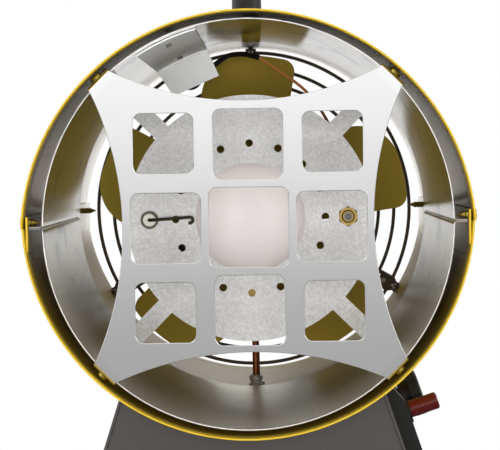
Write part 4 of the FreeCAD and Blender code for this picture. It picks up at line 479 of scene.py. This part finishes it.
def machined(name, colour, scale=1.0, rough=0.24, dark=0.78):
    """Turned or drawn metal with fine grain and stains."""
    finish = Finish(name)
    grain = finish.noise(finish.place(), scale=900.0 * scale, detail=2.0)
    stain = finish.noise(finish.place(), scale=120.0 * scale, detail=4.0, roughness=0.6)
    return finish.surface(
        Base_Color=finish.shaded(colour, stain.between(0.3, 0.7) * 0.8 + grain * 0.2, low=dark, high=1.06),
        Metallic=1.0,
        Roughness=rough + stain * 0.16,
        Normal=finish.bump(grain, strength=0.06, distance=0.03 * MM),
    )


def ringed_tip(colours, sensor):
    """Sensor body whose end shows a dark ring, painted shade standing for a turned groove, round a bright
    dot.
    """
    finish = Finish("sensor_steel")
    radius = finish.from_line(sensor.across)
    # Painted shade: a dark ring in the colour where a turned groove would lie in shade
    groove = radius.between(0.5 * MM, 0.9 * MM) * (1 - radius.between(1.1 * MM, 1.6 * MM))
    stain = finish.noise(finish.place(), scale=400.0, detail=3.0)
    return finish.surface(
        Base_Color=finish.shaded(colours.plated_steel, 1 - groove, low=0.30, high=0.86),
        Metallic=1.0,
        Roughness=0.30 + stain * 0.2,
    )


def turned_brass(colours, sensor):
    """Brass nut with painted shade in the groove round its ring and on its corners."""
    finish = Finish("turned_brass")
    radius = finish.from_line(sensor.across)
    blur = 0.2 * MM
    past_ring = radius.between(sensor.ring - blur, sensor.ring)
    past_groove = radius.between(sensor.groove - blur, sensor.groove)
    # Painted shade: the modelled groove and the nut's corners are darkened in the colour
    groove = past_ring * (1 - past_groove)
    corners = radius.between(sensor.flats * 0.48, sensor.flats * 0.53)
    stain = finish.noise(finish.place(), scale=500.0, detail=3.0)
    return finish.surface(
        Base_Color=finish.shaded(colours.brass, 1 - groove.larger(corners * 0.8), low=0.10, high=1.0),
        Metallic=1.0,
        Roughness=0.24 + stain * 0.16,
    )


def sprayed(name, colour, rough, grain):
    """Sprayed or powder paint with its fine texture."""
    finish = Finish(name)
    peel = finish.noise(finish.place(), scale=850.0, detail=2.0)
    cloud = finish.noise(finish.place(), scale=18.0, detail=4.0)
    return finish.surface(
        Base_Color=finish.shaded(colour, cloud * 0.7 + peel * 0.3, low=0.9, high=1.1),
        Roughness=rough + cloud * 0.10,
        Normal=finish.bump(peel, strength=0.14, distance=grain),
    )


def moulded(name, colour, rough, grain, gloss=0.0):
    """Moulded plastic or rubber: fine spark-eroded texture, slightly uneven sheen."""
    finish = Finish(name)
    grit = finish.noise(finish.place(), scale=1500.0, detail=2.0)
    cloud = finish.noise(finish.place(), scale=40.0, detail=3.0)
    return finish.surface(
        Base_Color=finish.shaded(colour, cloud, low=0.88, high=1.14),
        Roughness=rough + cloud * 0.10,
        Coat_Weight=gloss,
        Coat_Roughness=0.10,
        Normal=finish.bump(grit, strength=0.18, distance=grain),
    )


def glazed(name, colour):
    """White ceramic with a thin glaze."""
    finish = Finish(name)
    speck = finish.noise(finish.place(), scale=300.0, detail=3.0)
    return finish.surface(
        Base_Color=finish.shaded(colour, speck, low=0.92, high=1.03),
        Roughness=0.28 + speck * 0.08,
        Coat_Weight=0.3,
    )


def dress(material, *names):
    """Put a finish on CAD nodes whose shape stays."""
    for name in names:
        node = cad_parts[name]
        for slot in node.material_slots:
            slot.material = material
        if not node.material_slots:
            node.data.materials.append(material)


# Modelling helpers

def new_piece(name, shape, material):
    """Object at the origin from a bmesh, shaded smooth, that rides on the heater."""
    bmesh.ops.remove_doubles(shape, verts=shape.verts[:], dist=0.002 * MM)
    mesh = bpy.data.meshes.new(name)
    shape.to_mesh(mesh)
    shape.free()
    mesh.materials.append(material)
    piece = bpy.data.objects.new(name, mesh)
    bpy.context.scene.collection.objects.link(piece)
    mesh.shade_smooth()
    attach(piece, "heater")
    return piece


def sheet_metal(piece, thickness, edge, flat=False):
    """Give an open sheet its wall and small rounded edges."""
    wall = piece.modifiers.new("wall", "SOLIDIFY")
    wall.thickness = thickness
    wall.offset = 0.0
    wall.use_even_offset = True
    round_edges(piece, edge, flat)


def round_edges(piece, edge, flat):
    """Small rounded edges; flat faces keep one direction of their own."""
    rounding = piece.modifiers.new("edges", "BEVEL")
    rounding.width = edge
    rounding.segments = 2
    rounding.limit_method = "ANGLE"
    rounding.angle_limit = math.radians(40)
    rounding.harden_normals = flat
    if not flat:
        evenness = piece.modifiers.new("evenness", "WEIGHTED_NORMAL")
        evenness.keep_sharp = True


def rounded(shape, vertices, radius, segments):
    """Round the corners at some vertices."""
    bmesh.ops.bevel(
        shape, geom=vertices, offset=radius, offset_type="OFFSET", segments=segments,
        profile=0.5, affect="VERTICES", material=-1,
    )


def block(shape, low, high):
    """Box between two corners."""
    centre = (Vector(low) + Vector(high)) / 2
    extent = Vector(high) - Vector(low)
    place = Matrix.Translation(centre) @ Matrix.Diagonal((*extent, 1.0))
    bmesh.ops.create_cube(shape, size=1.0, matrix=place)


# Pieces

class HEATER_OT_casing(bpy.types.Operator):
    """Two half shells with a folded hem at the front, and the lower half's lap strips"""

    bl_idname = "heater.casing"
    bl_label = "Casing"

    def half(self, sizes, side):
        """Section of one half swept round its own arc centre."""
        swell = sizes.upper_swell if side > 0 else 0.0
        offset = sizes.casing_offset + swell
        outer = sizes.casing_radius + swell
        inner = outer - sizes.casing_wall
        hem = outer - sizes.hem_wall
        rear = CAD_HIGH.y
        step = FRONT + sizes.hem_length
        section = [(hem, FRONT), (outer, FRONT), (outer, rear)]
        section += [(inner, rear), (inner, step), (hem, step)]
        start = math.asin(offset / (outer - sizes.casing_wall / 2))
        centre = Vector((0, 0, SPLIT - side * offset))
        lean = Vector((math.cos(start), 0, side * math.sin(start)))
        shape = bmesh.new()
        corners = [shape.verts.new(centre + lean * reach + Vector((0, y, 0))) for reach, y in section]
        shape.faces.new(corners)
        rounded(shape, corners[:2], sizes.hem_wall * 0.46, 5)
        bmesh.ops.spin(
            shape, geom=shape.verts[:] + shape.edges[:] + shape.faces[:], cent=centre,
            axis=(0, -side, 0), angle=math.pi - 2 * start, steps=ARC_STEPS,
        )
        bmesh.ops.recalc_face_normals(shape, faces=shape.faces[:])
        return shape

    def execute(self, context):
        sizes = context.scene.heater_sheets
        material = casing_paint(context.scene.heater_colours, sizes)
        upper = new_piece("casing_upper_shell", self.half(sizes, 1), material)
        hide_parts("upper_casing")
        lower_shape = self.half(sizes, -1)
        lap_front = FRONT + sizes.hem_length + HEM_GAP
        for hand in (-1, 1):
            reach = sorted((hand * sizes.lap_reach, hand * (sizes.lap_reach - sizes.casing_wall)))
            low = (reach[0], lap_front, SPLIT - sizes.lap_root)
            block(lower_shape, low, (reach[1], CAD_HIGH.y, SPLIT + sizes.lap_height))
        lower = new_piece("casing_lower_shell", lower_shape, material)
        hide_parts("lower_casing")
        for piece in (upper, lower):
            piece.data.set_sharp_from_angle(angle=math.radians(50))
        return {"FINISHED"}


class HEATER_OT_liner(bpy.types.Operator):
    """Two bright half shells with flanges folded outwards along the side seams"""

    bl_idname = "heater.liner"
    bl_label = "Liner"

    def half(self, sizes, side):
        """Arc of sheet with a flange at each end, drawn out along the barrel."""
        middle = sizes.liner_radius - sizes.liner_wall / 2
        rise = side * sizes.liner_wall / 2
        start = math.asin(sizes.liner_wall / 2 / middle)
        front = FRONT + sizes.liner_front
        centre = Vector((0, 0, SPLIT))
        shape = bmesh.new()
        first = shape.verts.new((middle * math.cos(start), front, SPLIT + rise))
        bmesh.ops.spin(
            shape, geom=[first], cent=centre, axis=(0, -side, 0),
            angle=math.pi - 2 * start, steps=ARC_STEPS,
        )
        ends = [vertex for vertex in shape.verts if len(vertex.link_edges) == 1]
        tips = bmesh.ops.extrude_vert_indiv(shape, verts=ends)["verts"]
        for tip in tips:
            tip.co.x = math.copysign(sizes.flange_reach, tip.co.x)
        folds = [vertex.co.copy() for vertex in ends]
        drawn = bmesh.ops.extrude_edge_only(shape, edges=shape.edges[:])["geom"]
        far = [item for item in drawn if isinstance(item, bmesh.types.BMVert)]
        bmesh.ops.translate(shape, verts=far, vec=(0, sizes.liner_length, 0))
        creases = []
        for edge in shape.edges:
            gaps = [min((vertex.co - fold).xz.length for fold in folds) for vertex in edge.verts]
            if max(gaps) < TOUCH and len(edge.link_faces) == 2:
                creases.append(edge)
        bmesh.ops.bevel(
            shape, geom=creases, offset=sizes.liner_fold, offset_type="OFFSET", segments=4,
            profile=0.5, affect="EDGES", material=-1,
        )
        bmesh.ops.recalc_face_normals(shape, faces=shape.faces[:])
        return shape

    def execute(self, context):
        sizes = context.scene.heater_sheets
        material = liner_sheet(context.scene.heater_colours, sizes)
        halves = [("liner_upper_shell", "liner_upper", 1), ("liner_lower_shell", "liner_lower", -1)]
        for name, node, side in halves:
            piece = new_piece(name, self.half(sizes, side), material)
            sheet_metal(piece, sizes.liner_wall, edge=0.15 * MM)
            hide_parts(node)
        return {"FINISHED"}


class HEATER_OT_deflector(bpy.types.Operator):
    """Front deflector: hollow sides, nine rounded windows and four folded corner tabs"""

    bl_idname = "heater.deflector"
    bl_label = "Deflector"

    def windows(self, shape, sizes, y):
        """Edge loops of the nine windows, set a little low and turned as they really are."""
        sides = [sizes.window_middle, sizes.window_side, sizes.window_corner]
        steps = [0.0, sizes.side_step, sizes.corner_step]
        for column in (-1, 0, 1):
            for row in (-1, 0, 1):
                kind = abs(column) + abs(row)
                half = sides[kind] / 2
                across = column * steps[kind] + sizes.plate_right
                centre = Vector((across, y, SPLIT + row * steps[kind]))
                place = Matrix.Translation(centre) @ Matrix.Rotation(math.pi / 2, 4, "X")
                made = bmesh.ops.create_grid(shape, x_segments=1, y_segments=1, size=half, matrix=place)
                rounded(shape, made["verts"], sizes.window_round, 6)
        bmesh.ops.delete(shape, geom=shape.faces[:], context="FACES_ONLY")
        turn = Matrix.Rotation(sizes.plate_turn, 3, "Y")
        bmesh.ops.rotate(shape, verts=shape.verts[:], cent=(0, 0, SPLIT), matrix=turn)
        bmesh.ops.translate(shape, verts=shape.verts[:], vec=(0, 0, -sizes.plate_drop))

    def outline(self, shape, sizes, y):
        """Corner edges joined by hollow arcs; returns the corner edges."""
        reach = sizes.plate_corner - sizes.plate_sheet / 2 - sizes.plate_fold
        half = sizes.plate_tab_width / 2
        centre = Vector((0, y, SPLIT))
        corners = []
        for angle in DIAGONALS:
            turn = Matrix.Rotation(-angle, 3, "Y")
            corners.append([centre + turn @ Vector((reach, 0, across)) for across in (-half, half)])
        eases = [-sizes.plate_low, 0.0, sizes.plate_low, 0.0]
        for index, (first, last) in enumerate(corners):
            following = corners[(index + 1) % len(corners)][0]
            sag = sizes.plate_sag - eases[index]
            shape.edges.new([shape.verts.new(first), shape.verts.new(last)])
            chord = following - last
            outward = ((last + following) / 2 - centre).normalized()
            radius = (chord.length ** 2 / 4 + sag ** 2) / (2 * sag)
            pivot = (last + following) / 2 + outward * (radius - sag)
            swing = 2 * math.asin(chord.length / 2 / radius)
            start = shape.verts.new(last)
            bmesh.ops.spin(shape, geom=[start], cent=pivot, axis=(0, 1, 0), angle=swing, steps=28)
        bmesh.ops.remove_doubles(shape, verts=shape.verts[:], dist=TOUCH)
        return corners

    def execute(self, context):
        sizes = context.scene.heater_sheets
        y = FRONT + sizes.plate_front + sizes.plate_sheet / 2
        shape = bmesh.new()
        self.windows(shape, sizes, y)
        corners = self.outline(shape, sizes, y)
        bmesh.ops.triangle_fill(shape, use_beauty=True, use_dissolve=False, edges=shape.edges[:])
        for first, last in corners:
            middle = (first + last) / 2
            fold = [edge for edge in shape.edges
                    if ((edge.verts[0].co + edge.verts[1].co) / 2 - middle).length < TOUCH]
            pivot = middle + Vector((0, sizes.plate_fold, 0))
            along = (last - first).normalized()
            bent = bmesh.ops.spin(
                shape, geom=fold, cent=pivot, axis=along, angle=math.pi / 2, steps=5,
            )["geom_last"]
            tips = [item for item in bent if isinstance(item, bmesh.types.BMEdge)]
            drawn = bmesh.ops.extrude_edge_only(shape, edges=tips)["geom"]
            far = [item for item in drawn if isinstance(item, bmesh.types.BMVert)]
            depth = sizes.plate_tab_depth - sizes.plate_sheet / 2 - sizes.plate_fold
            bmesh.ops.translate(shape, verts=far, vec=(0, depth, 0))
        bmesh.ops.recalc_face_normals(shape, faces=shape.faces[:])
        piece = new_piece("deflector_folded", shape, deflector_sheet(context.scene.heater_colours))
        sheet_metal(piece, sizes.plate_sheet, edge=0.3 * MM, flat=True)
        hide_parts("deflector_plate")
        return {"FINISHED"}


class HEATER_OT_burner(bpy.types.Operator):
    """Galvanised burner plate, pale bowl, injector, spark electrode and flame sensor"""

    bl_idname = "heater.burner"
    bl_label = "Burner"

    def nut(self, sensor):
        """Chamfered hexagon with a groove and a ring round its bore."""
        face = FRONT + sensor.foot - sensor.height
        centre = Vector((sensor.across, face, SPLIT))
        shape = bmesh.new()
        place = Matrix.Translation(centre) @ Matrix.Rotation(math.pi / 2, 4, "X")
        corner = sensor.flats / math.sqrt(3)
        tips = bmesh.ops.create_circle(shape, segments=6, radius=corner, matrix=place)["verts"]
        outline = shape.edges[:]
        rim = bmesh.ops.create_circle(shape, segments=48, radius=sensor.groove, matrix=place)["verts"]
        loop = [edge for edge in shape.edges if edge.verts[0] in rim]
        bmesh.ops.triangle_fill(shape, use_beauty=True, use_dissolve=False, edges=shape.edges[:])
        self.drawn(shape, outline, centre, sensor.height, 1.0)
        top = sensor.groove_depth + sensor.ring_rise
        depths = [sensor.groove_depth, 0.0, -top, 0.0, sensor.ring_rise + sensor.height]
        scales = [1.0, sensor.ring / sensor.groove, 1.0, sensor.bore / sensor.ring, 1.0]
        for depth, scale in zip(depths, scales):
            loop = self.drawn(shape, loop, centre, depth, scale)
        rounded(shape, tips, sensor.chamfer, 1)
        bmesh.ops.recalc_face_normals(shape, faces=shape.faces[:])
        return shape

    def drawn(self, shape, edges, centre, depth, scale):
        """Draw a loop of edges out to a new depth and size; returns the new loop."""
        made = bmesh.ops.extrude_edge_only(shape, edges=edges)["geom"]
        far = [item for item in made if isinstance(item, bmesh.types.BMVert)]
        bmesh.ops.translate(shape, verts=far, vec=(0, depth, 0))
        bmesh.ops.scale(shape, verts=far, vec=(scale, 1, scale), space=Matrix.Translation(-centre))
        lines = [item for item in made if isinstance(item, bmesh.types.BMEdge)]
        return [line for line in lines if all(vertex in far for vertex in line.verts)]

    def execute(self, context):
        colours = context.scene.heater_colours
        sensor = context.scene.heater_sensor
        dress(zinc_sheet("burner_zinc", colours.zinc, contrast=0.20, metallic=0.35), "burner_plate")
        # Painted light: the bracket gets a whiter, non-metal copy of the zinc so that it looks lit
        smooth = zinc_sheet("bracket_lit_zinc", colours.bracket_lit_zinc, contrast=0.06, metallic=0.0)
        dress(smooth, "thermostat_bracket")
        dress(bowl_enamel(colours), "burner_bowl")
        dress(glazed("glazed_ceramic", colours.ceramic_white), "electrode_ceramic")
        dress(machined("heat_darkened_steel", colours.heat_steel, rough=0.34), "electrode_rod")
        dress(machined("ferrule_steel", colours.ferrule_steel, rough=0.22), "electrode_ferrule")
        dress(machined("machined_brass", colours.brass), "gas_injector", "gas_inlet", "gas_valve_body")
        nut = new_piece("sensor_nut_turned", self.nut(sensor), turned_brass(colours, sensor))
        nut.data.set_sharp_from_angle(angle=math.radians(30))
        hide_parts("thermocouple_nut")
        dress(ringed_tip(colours, sensor), "thermocouple_probe")
        return {"FINISHED"}


class HEATER_OT_leads(bpy.types.Operator):
    """Copper pipes, sleeved leads, glands and the cut-out"""

    bl_idname = "heater.leads"
    bl_label = "Pipes and leads"

    def execute(self, context):
        colours = context.scene.heater_colours
        copper = machined("drawn_copper", colours.copper, scale=0.6, rough=0.30, dark=0.55)
        dress(copper, "gas_pipe", "supply_pipe")
        dress(sprayed("lead_enamel", colours.lead_brown, rough=0.36, grain=0.02 * MM), "thermocouple_lead")
        sleeve = moulded("lead_sleeve", colours.black_plastic, rough=0.46, grain=0.02 * MM)
        dress(sleeve, "thermostat_lead", "ignition_lead")
        gland = zinc_sheet("gland_zinc", colours.plated_steel, contrast=0.06, metallic=0.7)
        dress(gland, "pipe_gland")
        dress(moulded("grommet_rubber", colours.rubber, rough=0.6, grain=0.03 * MM), "lead_grommet")
        case = moulded("cutout_plastic", colours.black_plastic, rough=0.4, grain=0.02 * MM)
        dress(case, "thermostat_body")
        return {"FINISHED"}


class HEATER_OT_fan(bpy.types.Operator):
    """Fan with its yellow paint darkened as painted shade, its hub and nut, and the motor"""

    bl_idname = "heater.fan"
    bl_label = "Fan and motor"

    def execute(self, context):
        colours = context.scene.heater_colours
        # Painted shade: the fan's colour is its yellow paint darkened as if in shade
        dress(sprayed("fan_paint", colours.fan_olive, rough=0.42, grain=0.06 * MM), "fan_blades")
        dress(machined("turned_steel", colours.plated_steel), "fan_hub", "fan_nut", "motor_shaft")
        dress(sprayed("motor_paint", colours.motor_grey, rough=0.46, grain=0.08 * MM), "motor_body")
        return {"FINISHED"}


class HEATER_OT_guard(bpy.types.Operator):
    """Black coated wire guard and its clips"""

    bl_idname = "heater.guard"
    bl_label = "Rear guard"

    def execute(self, context):
        colours = context.scene.heater_colours
        coating = sprayed("guard_coating", colours.guard_black, rough=0.38, grain=0.05 * MM)
        dress(coating, "rear_guard", "guard_clips")
        return {"FINISHED"}


class HEATER_OT_stand(bpy.types.Operator):
    """Grey stand, its end panels and the rubber feet"""

    bl_idname = "heater.stand"
    bl_label = "Stand"

    def execute(self, context):
        colours = context.scene.heater_colours
        grey = sprayed("stand_paint", colours.stand_grey, rough=0.44, grain=0.10 * MM)
        dress(grey, "base_shell", "base_front_panel", "base_rear_panel")
        dress(moulded("foot_rubber", colours.rubber, rough=0.62, grain=0.04 * MM), "rubber_feet")
        return {"FINISHED"}


class HEATER_OT_controls(bpy.types.Operator):
    """Control box, knob, igniter button, mains switch and cable gland"""

    bl_idname = "heater.controls"
    bl_label = "Controls"

    def execute(self, context):
        colours = context.scene.heater_colours
        black = moulded("control_plastic", colours.black_plastic, rough=0.42, grain=0.03 * MM)
        dress(black, "control_box", "gas_knob", "piezo_body", "rocker_housing", "cable_gland")
        shiny = moulded("rocker_plastic", colours.black_plastic, rough=0.26, grain=0.01 * MM, gloss=0.3)
        dress(shiny, "rocker")
        red = moulded("button_plastic", colours.red_plastic, rough=0.26, grain=0.01 * MM, gloss=0.15)
        dress(red, "piezo_button")
        dress(machined("spindle_steel", colours.plated_steel), "valve_spindle")
        return {"FINISHED"}


class HEATER_OT_handle(bpy.types.Operator):
    """Carrying handle on top of the barrel"""

    bl_idname = "heater.handle"
    bl_label = "Handle"

    def execute(self, context):
        colours = context.scene.heater_colours
        dress(moulded("handle_plastic", colours.black_plastic, rough=0.44, grain=0.04 * MM), "carry_handle")
        return {"FINISHED"}


class HEATER_OT_fasteners(bpy.types.Operator):
    """Zinc plated screws: yellow passivated on the deflector and the seams, bright elsewhere"""

    bl_idname = "heater.fasteners"
    bl_label = "Fasteners"

    def execute(self, context):
        colours = context.scene.heater_colours
        yellow = ["deflector_screws", "seam_screws"]
        bright = [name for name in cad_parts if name.endswith("_screws") and name not in yellow]
        dress(machined("plated_screws", colours.plated_steel, rough=0.20), *bright)
        dress(machined("passivated_screws", colours.yellow_zinc, rough=0.22), *yellow)
        return {"FINISHED"}


class HEATER_OT_studio(bpy.types.Operator):
    """Camera, soft lamps, white room and pale floor"""

    bl_idname = "heater.studio"
    bl_label = "Studio"

    def camera(self, scene, studio):
        """Long lens in front of the outlet, as in the photograph."""
        lens = bpy.data.cameras.new("studio_camera")
        lens.sensor_width = 36.0
        lens.lens = studio.lens
        lens.clip_end = 60.0
        camera = bpy.data.objects.new("studio_camera", lens)
        scene.collection.objects.link(camera)
        turn = Matrix.Rotation(studio.yaw, 4, "Z") @ Matrix.Rotation(math.pi / 2 - studio.pitch, 4, "X")
        turn = turn @ Matrix.Rotation(-studio.roll, 4, "Z")
        eye = Vector((studio.eye_x, FRONT - studio.eye_distance, studio.eye_height))
        camera.matrix_world = Matrix.Translation(eye) @ turn
        scene.camera = camera

    def lamp(self, scene, name, place, side, power):
        """Square lamp that faces the barrel."""
        light = bpy.data.lights.new(name, "AREA")
        light.shape = "SQUARE"
        light.size = side
        light.energy = power
        lamp = bpy.data.objects.new(name, light)
        lamp.visible_camera = False
        scene.collection.objects.link(lamp)
        heading = Vector((0.0, 0.0, SPLIT)) - Vector(place)
        turn = heading.to_track_quat("-Z", "Y").to_matrix().to_4x4()
        lamp.matrix_world = Matrix.Translation(place) @ turn
        return lamp

    def room(self, scene, studio):
        """White to the camera, darker bands in mirrors, dim to matt surfaces."""
        world = bpy.data.worlds.new("white_room")
        scene.world = world
        room = Sketch(world)
        heading = room.node("ShaderNodeTexCoord").outputs["Generated"]
        split = room.node("ShaderNodeSeparateXYZ", None, {0: heading})
        rise = Field(room, split.outputs["Z"])
        behind = Field(room, split.outputs["Y"]) > 0.0
        before = studio.horizon + (1 - studio.horizon) * rise.between(-0.03, 0.035)
        after = 1 - 0.50 * rise.between(-0.01, 0.04) - 0.2 * rise.between(0.04, 0.14)
        mirrored = before * (1 - behind) + after * behind
        seen = room.light_path("Is Camera Ray").larger(room.light_path("Is Transmission Ray"))
        level = seen.larger(room.light_path("Is Glossy Ray") * mirrored).larger(studio.ambient)
        back = world.node_tree.nodes["Background"]
        back.inputs["Color"].default_value = (1, 1, 1, 1)
        room.feed(back.inputs["Strength"], level)

    def floor(self, scene, studio):
        """Pale floor that fades to white round the object and is darker in mirrors."""
        shape = bmesh.new()
        bmesh.ops.create_grid(shape, x_segments=1, y_segments=1, size=8.0)
        mesh = bpy.data.meshes.new("studio_floor")
        shape.to_mesh(mesh)
        shape.free()
        floor = bpy.data.objects.new("studio_floor", mesh)
        scene.collection.objects.link(floor)
        finish = Finish("studio_floor")
        x, y = finish.axes()[:2]
        away = (x * x + y * y).root().between(0.26, 0.50)
        camera = finish.light_path("Is Camera Ray")
        through = finish.light_path("Is Transmission Ray")
        mirror = finish.light_path("Is Glossy Ray")
        ahead = y * -1
        # Painted shade: in mirrors the floor glows dimmer close before the heater's foot
        foot = 0.3 + 0.7 * ahead.between(0.25, 0.6)
        dim = finish.mix(foot, (0, 0, 0), [studio.near_floor] * 3)
        shown = (studio.horizon - studio.near_floor) * ahead.between(0.8, 8.0) + y.between(0.1, 0.5)
        white = (camera * (0.5 + away * 0.5)).larger(mirror).larger(through * away)
        tone = finish.mix(mirror, (1, 1, 1), finish.mix(shown, dim, (1, 1, 1)))
        glow = finish.node("ShaderNodeEmission", None, {"Color": tone, "Strength": 1.0})
        blend = finish.node("ShaderNodeMixShader", None, {0: white, 2: glow.outputs[0]})
        finish.surface(Base_Color=studio.floor_colour, Roughness=0.7)
        finish.feed(blend.inputs[1], finish.shader.outputs[0])
        finish.feed(finish.output.inputs["Surface"], blend.outputs[0])
        mesh.materials.append(finish.material)

    def execute(self, context):
        scene = context.scene
        studio = scene.heater_studio
        scene.view_settings.view_transform = "Standard"
        self.camera(scene, studio)
        lamps = [
            ("key_lamp", (-1.5, -1.7, 1.8), studio.key_power),
            ("right_lamp", (1.8, -0.5, 1.1), studio.fill_power),
            ("left_lamp", (-1.8, 0.5, 1.1), studio.fill_power),
            ("rear_lamp", (0.5, 2.1, 1.3), studio.fill_power),
        ]
        for name, place, power in lamps:
            self.lamp(scene, name, place, 1.4, power)
        front = self.lamp(scene, "front_lamp", (0.0, -1.75, 0.13), 0.5, studio.front_power)
        front.visible_glossy = False
        self.room(scene, studio)
        self.floor(scene, studio)
        return {"FINISHED"}


OPERATORS = [
    HEATER_OT_casing,
    HEATER_OT_liner,
    HEATER_OT_deflector,
    HEATER_OT_burner,
    HEATER_OT_leads,
    HEATER_OT_fan,
    HEATER_OT_guard,
    HEATER_OT_stand,
    HEATER_OT_controls,
    HEATER_OT_handle,
    HEATER_OT_fasteners,
    HEATER_OT_studio,
]


class HEATER_PT_sidebar(bpy.types.Panel):
    """Lists the heater's pieces and their settings"""

    bl_idname = "HEATER_PT_sidebar"
    bl_label = "Gas forced air heater"
    bl_space_type = "VIEW_3D"
    bl_region_type = "UI"
    bl_category = "Heater"

    def draw(self, context):
        for operator in OPERATORS:
            self.layout.operator(operator.bl_idname)
        scene = context.scene
        groups = [scene.heater_sheets, scene.heater_sensor, scene.heater_colours, scene.heater_studio]
        for group in groups:
            box = self.layout.box()
            for name in group.__annotations__:
                box.prop(group, name)


CLASSES = [SheetSizes, SensorSizes, FinishColours, StudioSettings, *OPERATORS, HEATER_PT_sidebar]


def register():
    for item in CLASSES:
        bpy.utils.register_class(item)
    bpy.types.Scene.heater_sheets = PointerProperty(type=SheetSizes)
    bpy.types.Scene.heater_sensor = PointerProperty(type=SensorSizes)
    bpy.types.Scene.heater_colours = PointerProperty(type=FinishColours)
    bpy.types.Scene.heater_studio = PointerProperty(type=StudioSettings)


def unregister():
    del bpy.types.Scene.heater_studio
    del bpy.types.Scene.heater_colours
    del bpy.types.Scene.heater_sensor
    del bpy.types.Scene.heater_sheets
    for item in reversed(CLASSES):
        bpy.utils.unregister_class(item)


def main():
    register()
    bpy.ops.heater.casing()
    bpy.ops.heater.liner()
    bpy.ops.heater.deflector()
    bpy.ops.heater.burner()
    bpy.ops.heater.leads()
    bpy.ops.heater.fan()
    bpy.ops.heater.guard()
    bpy.ops.heater.stand()
    bpy.ops.heater.controls()
    bpy.ops.heater.handle()
    bpy.ops.heater.fasteners()
    bpy.ops.heater.studio()


if __name__ == "__main__":
    main()
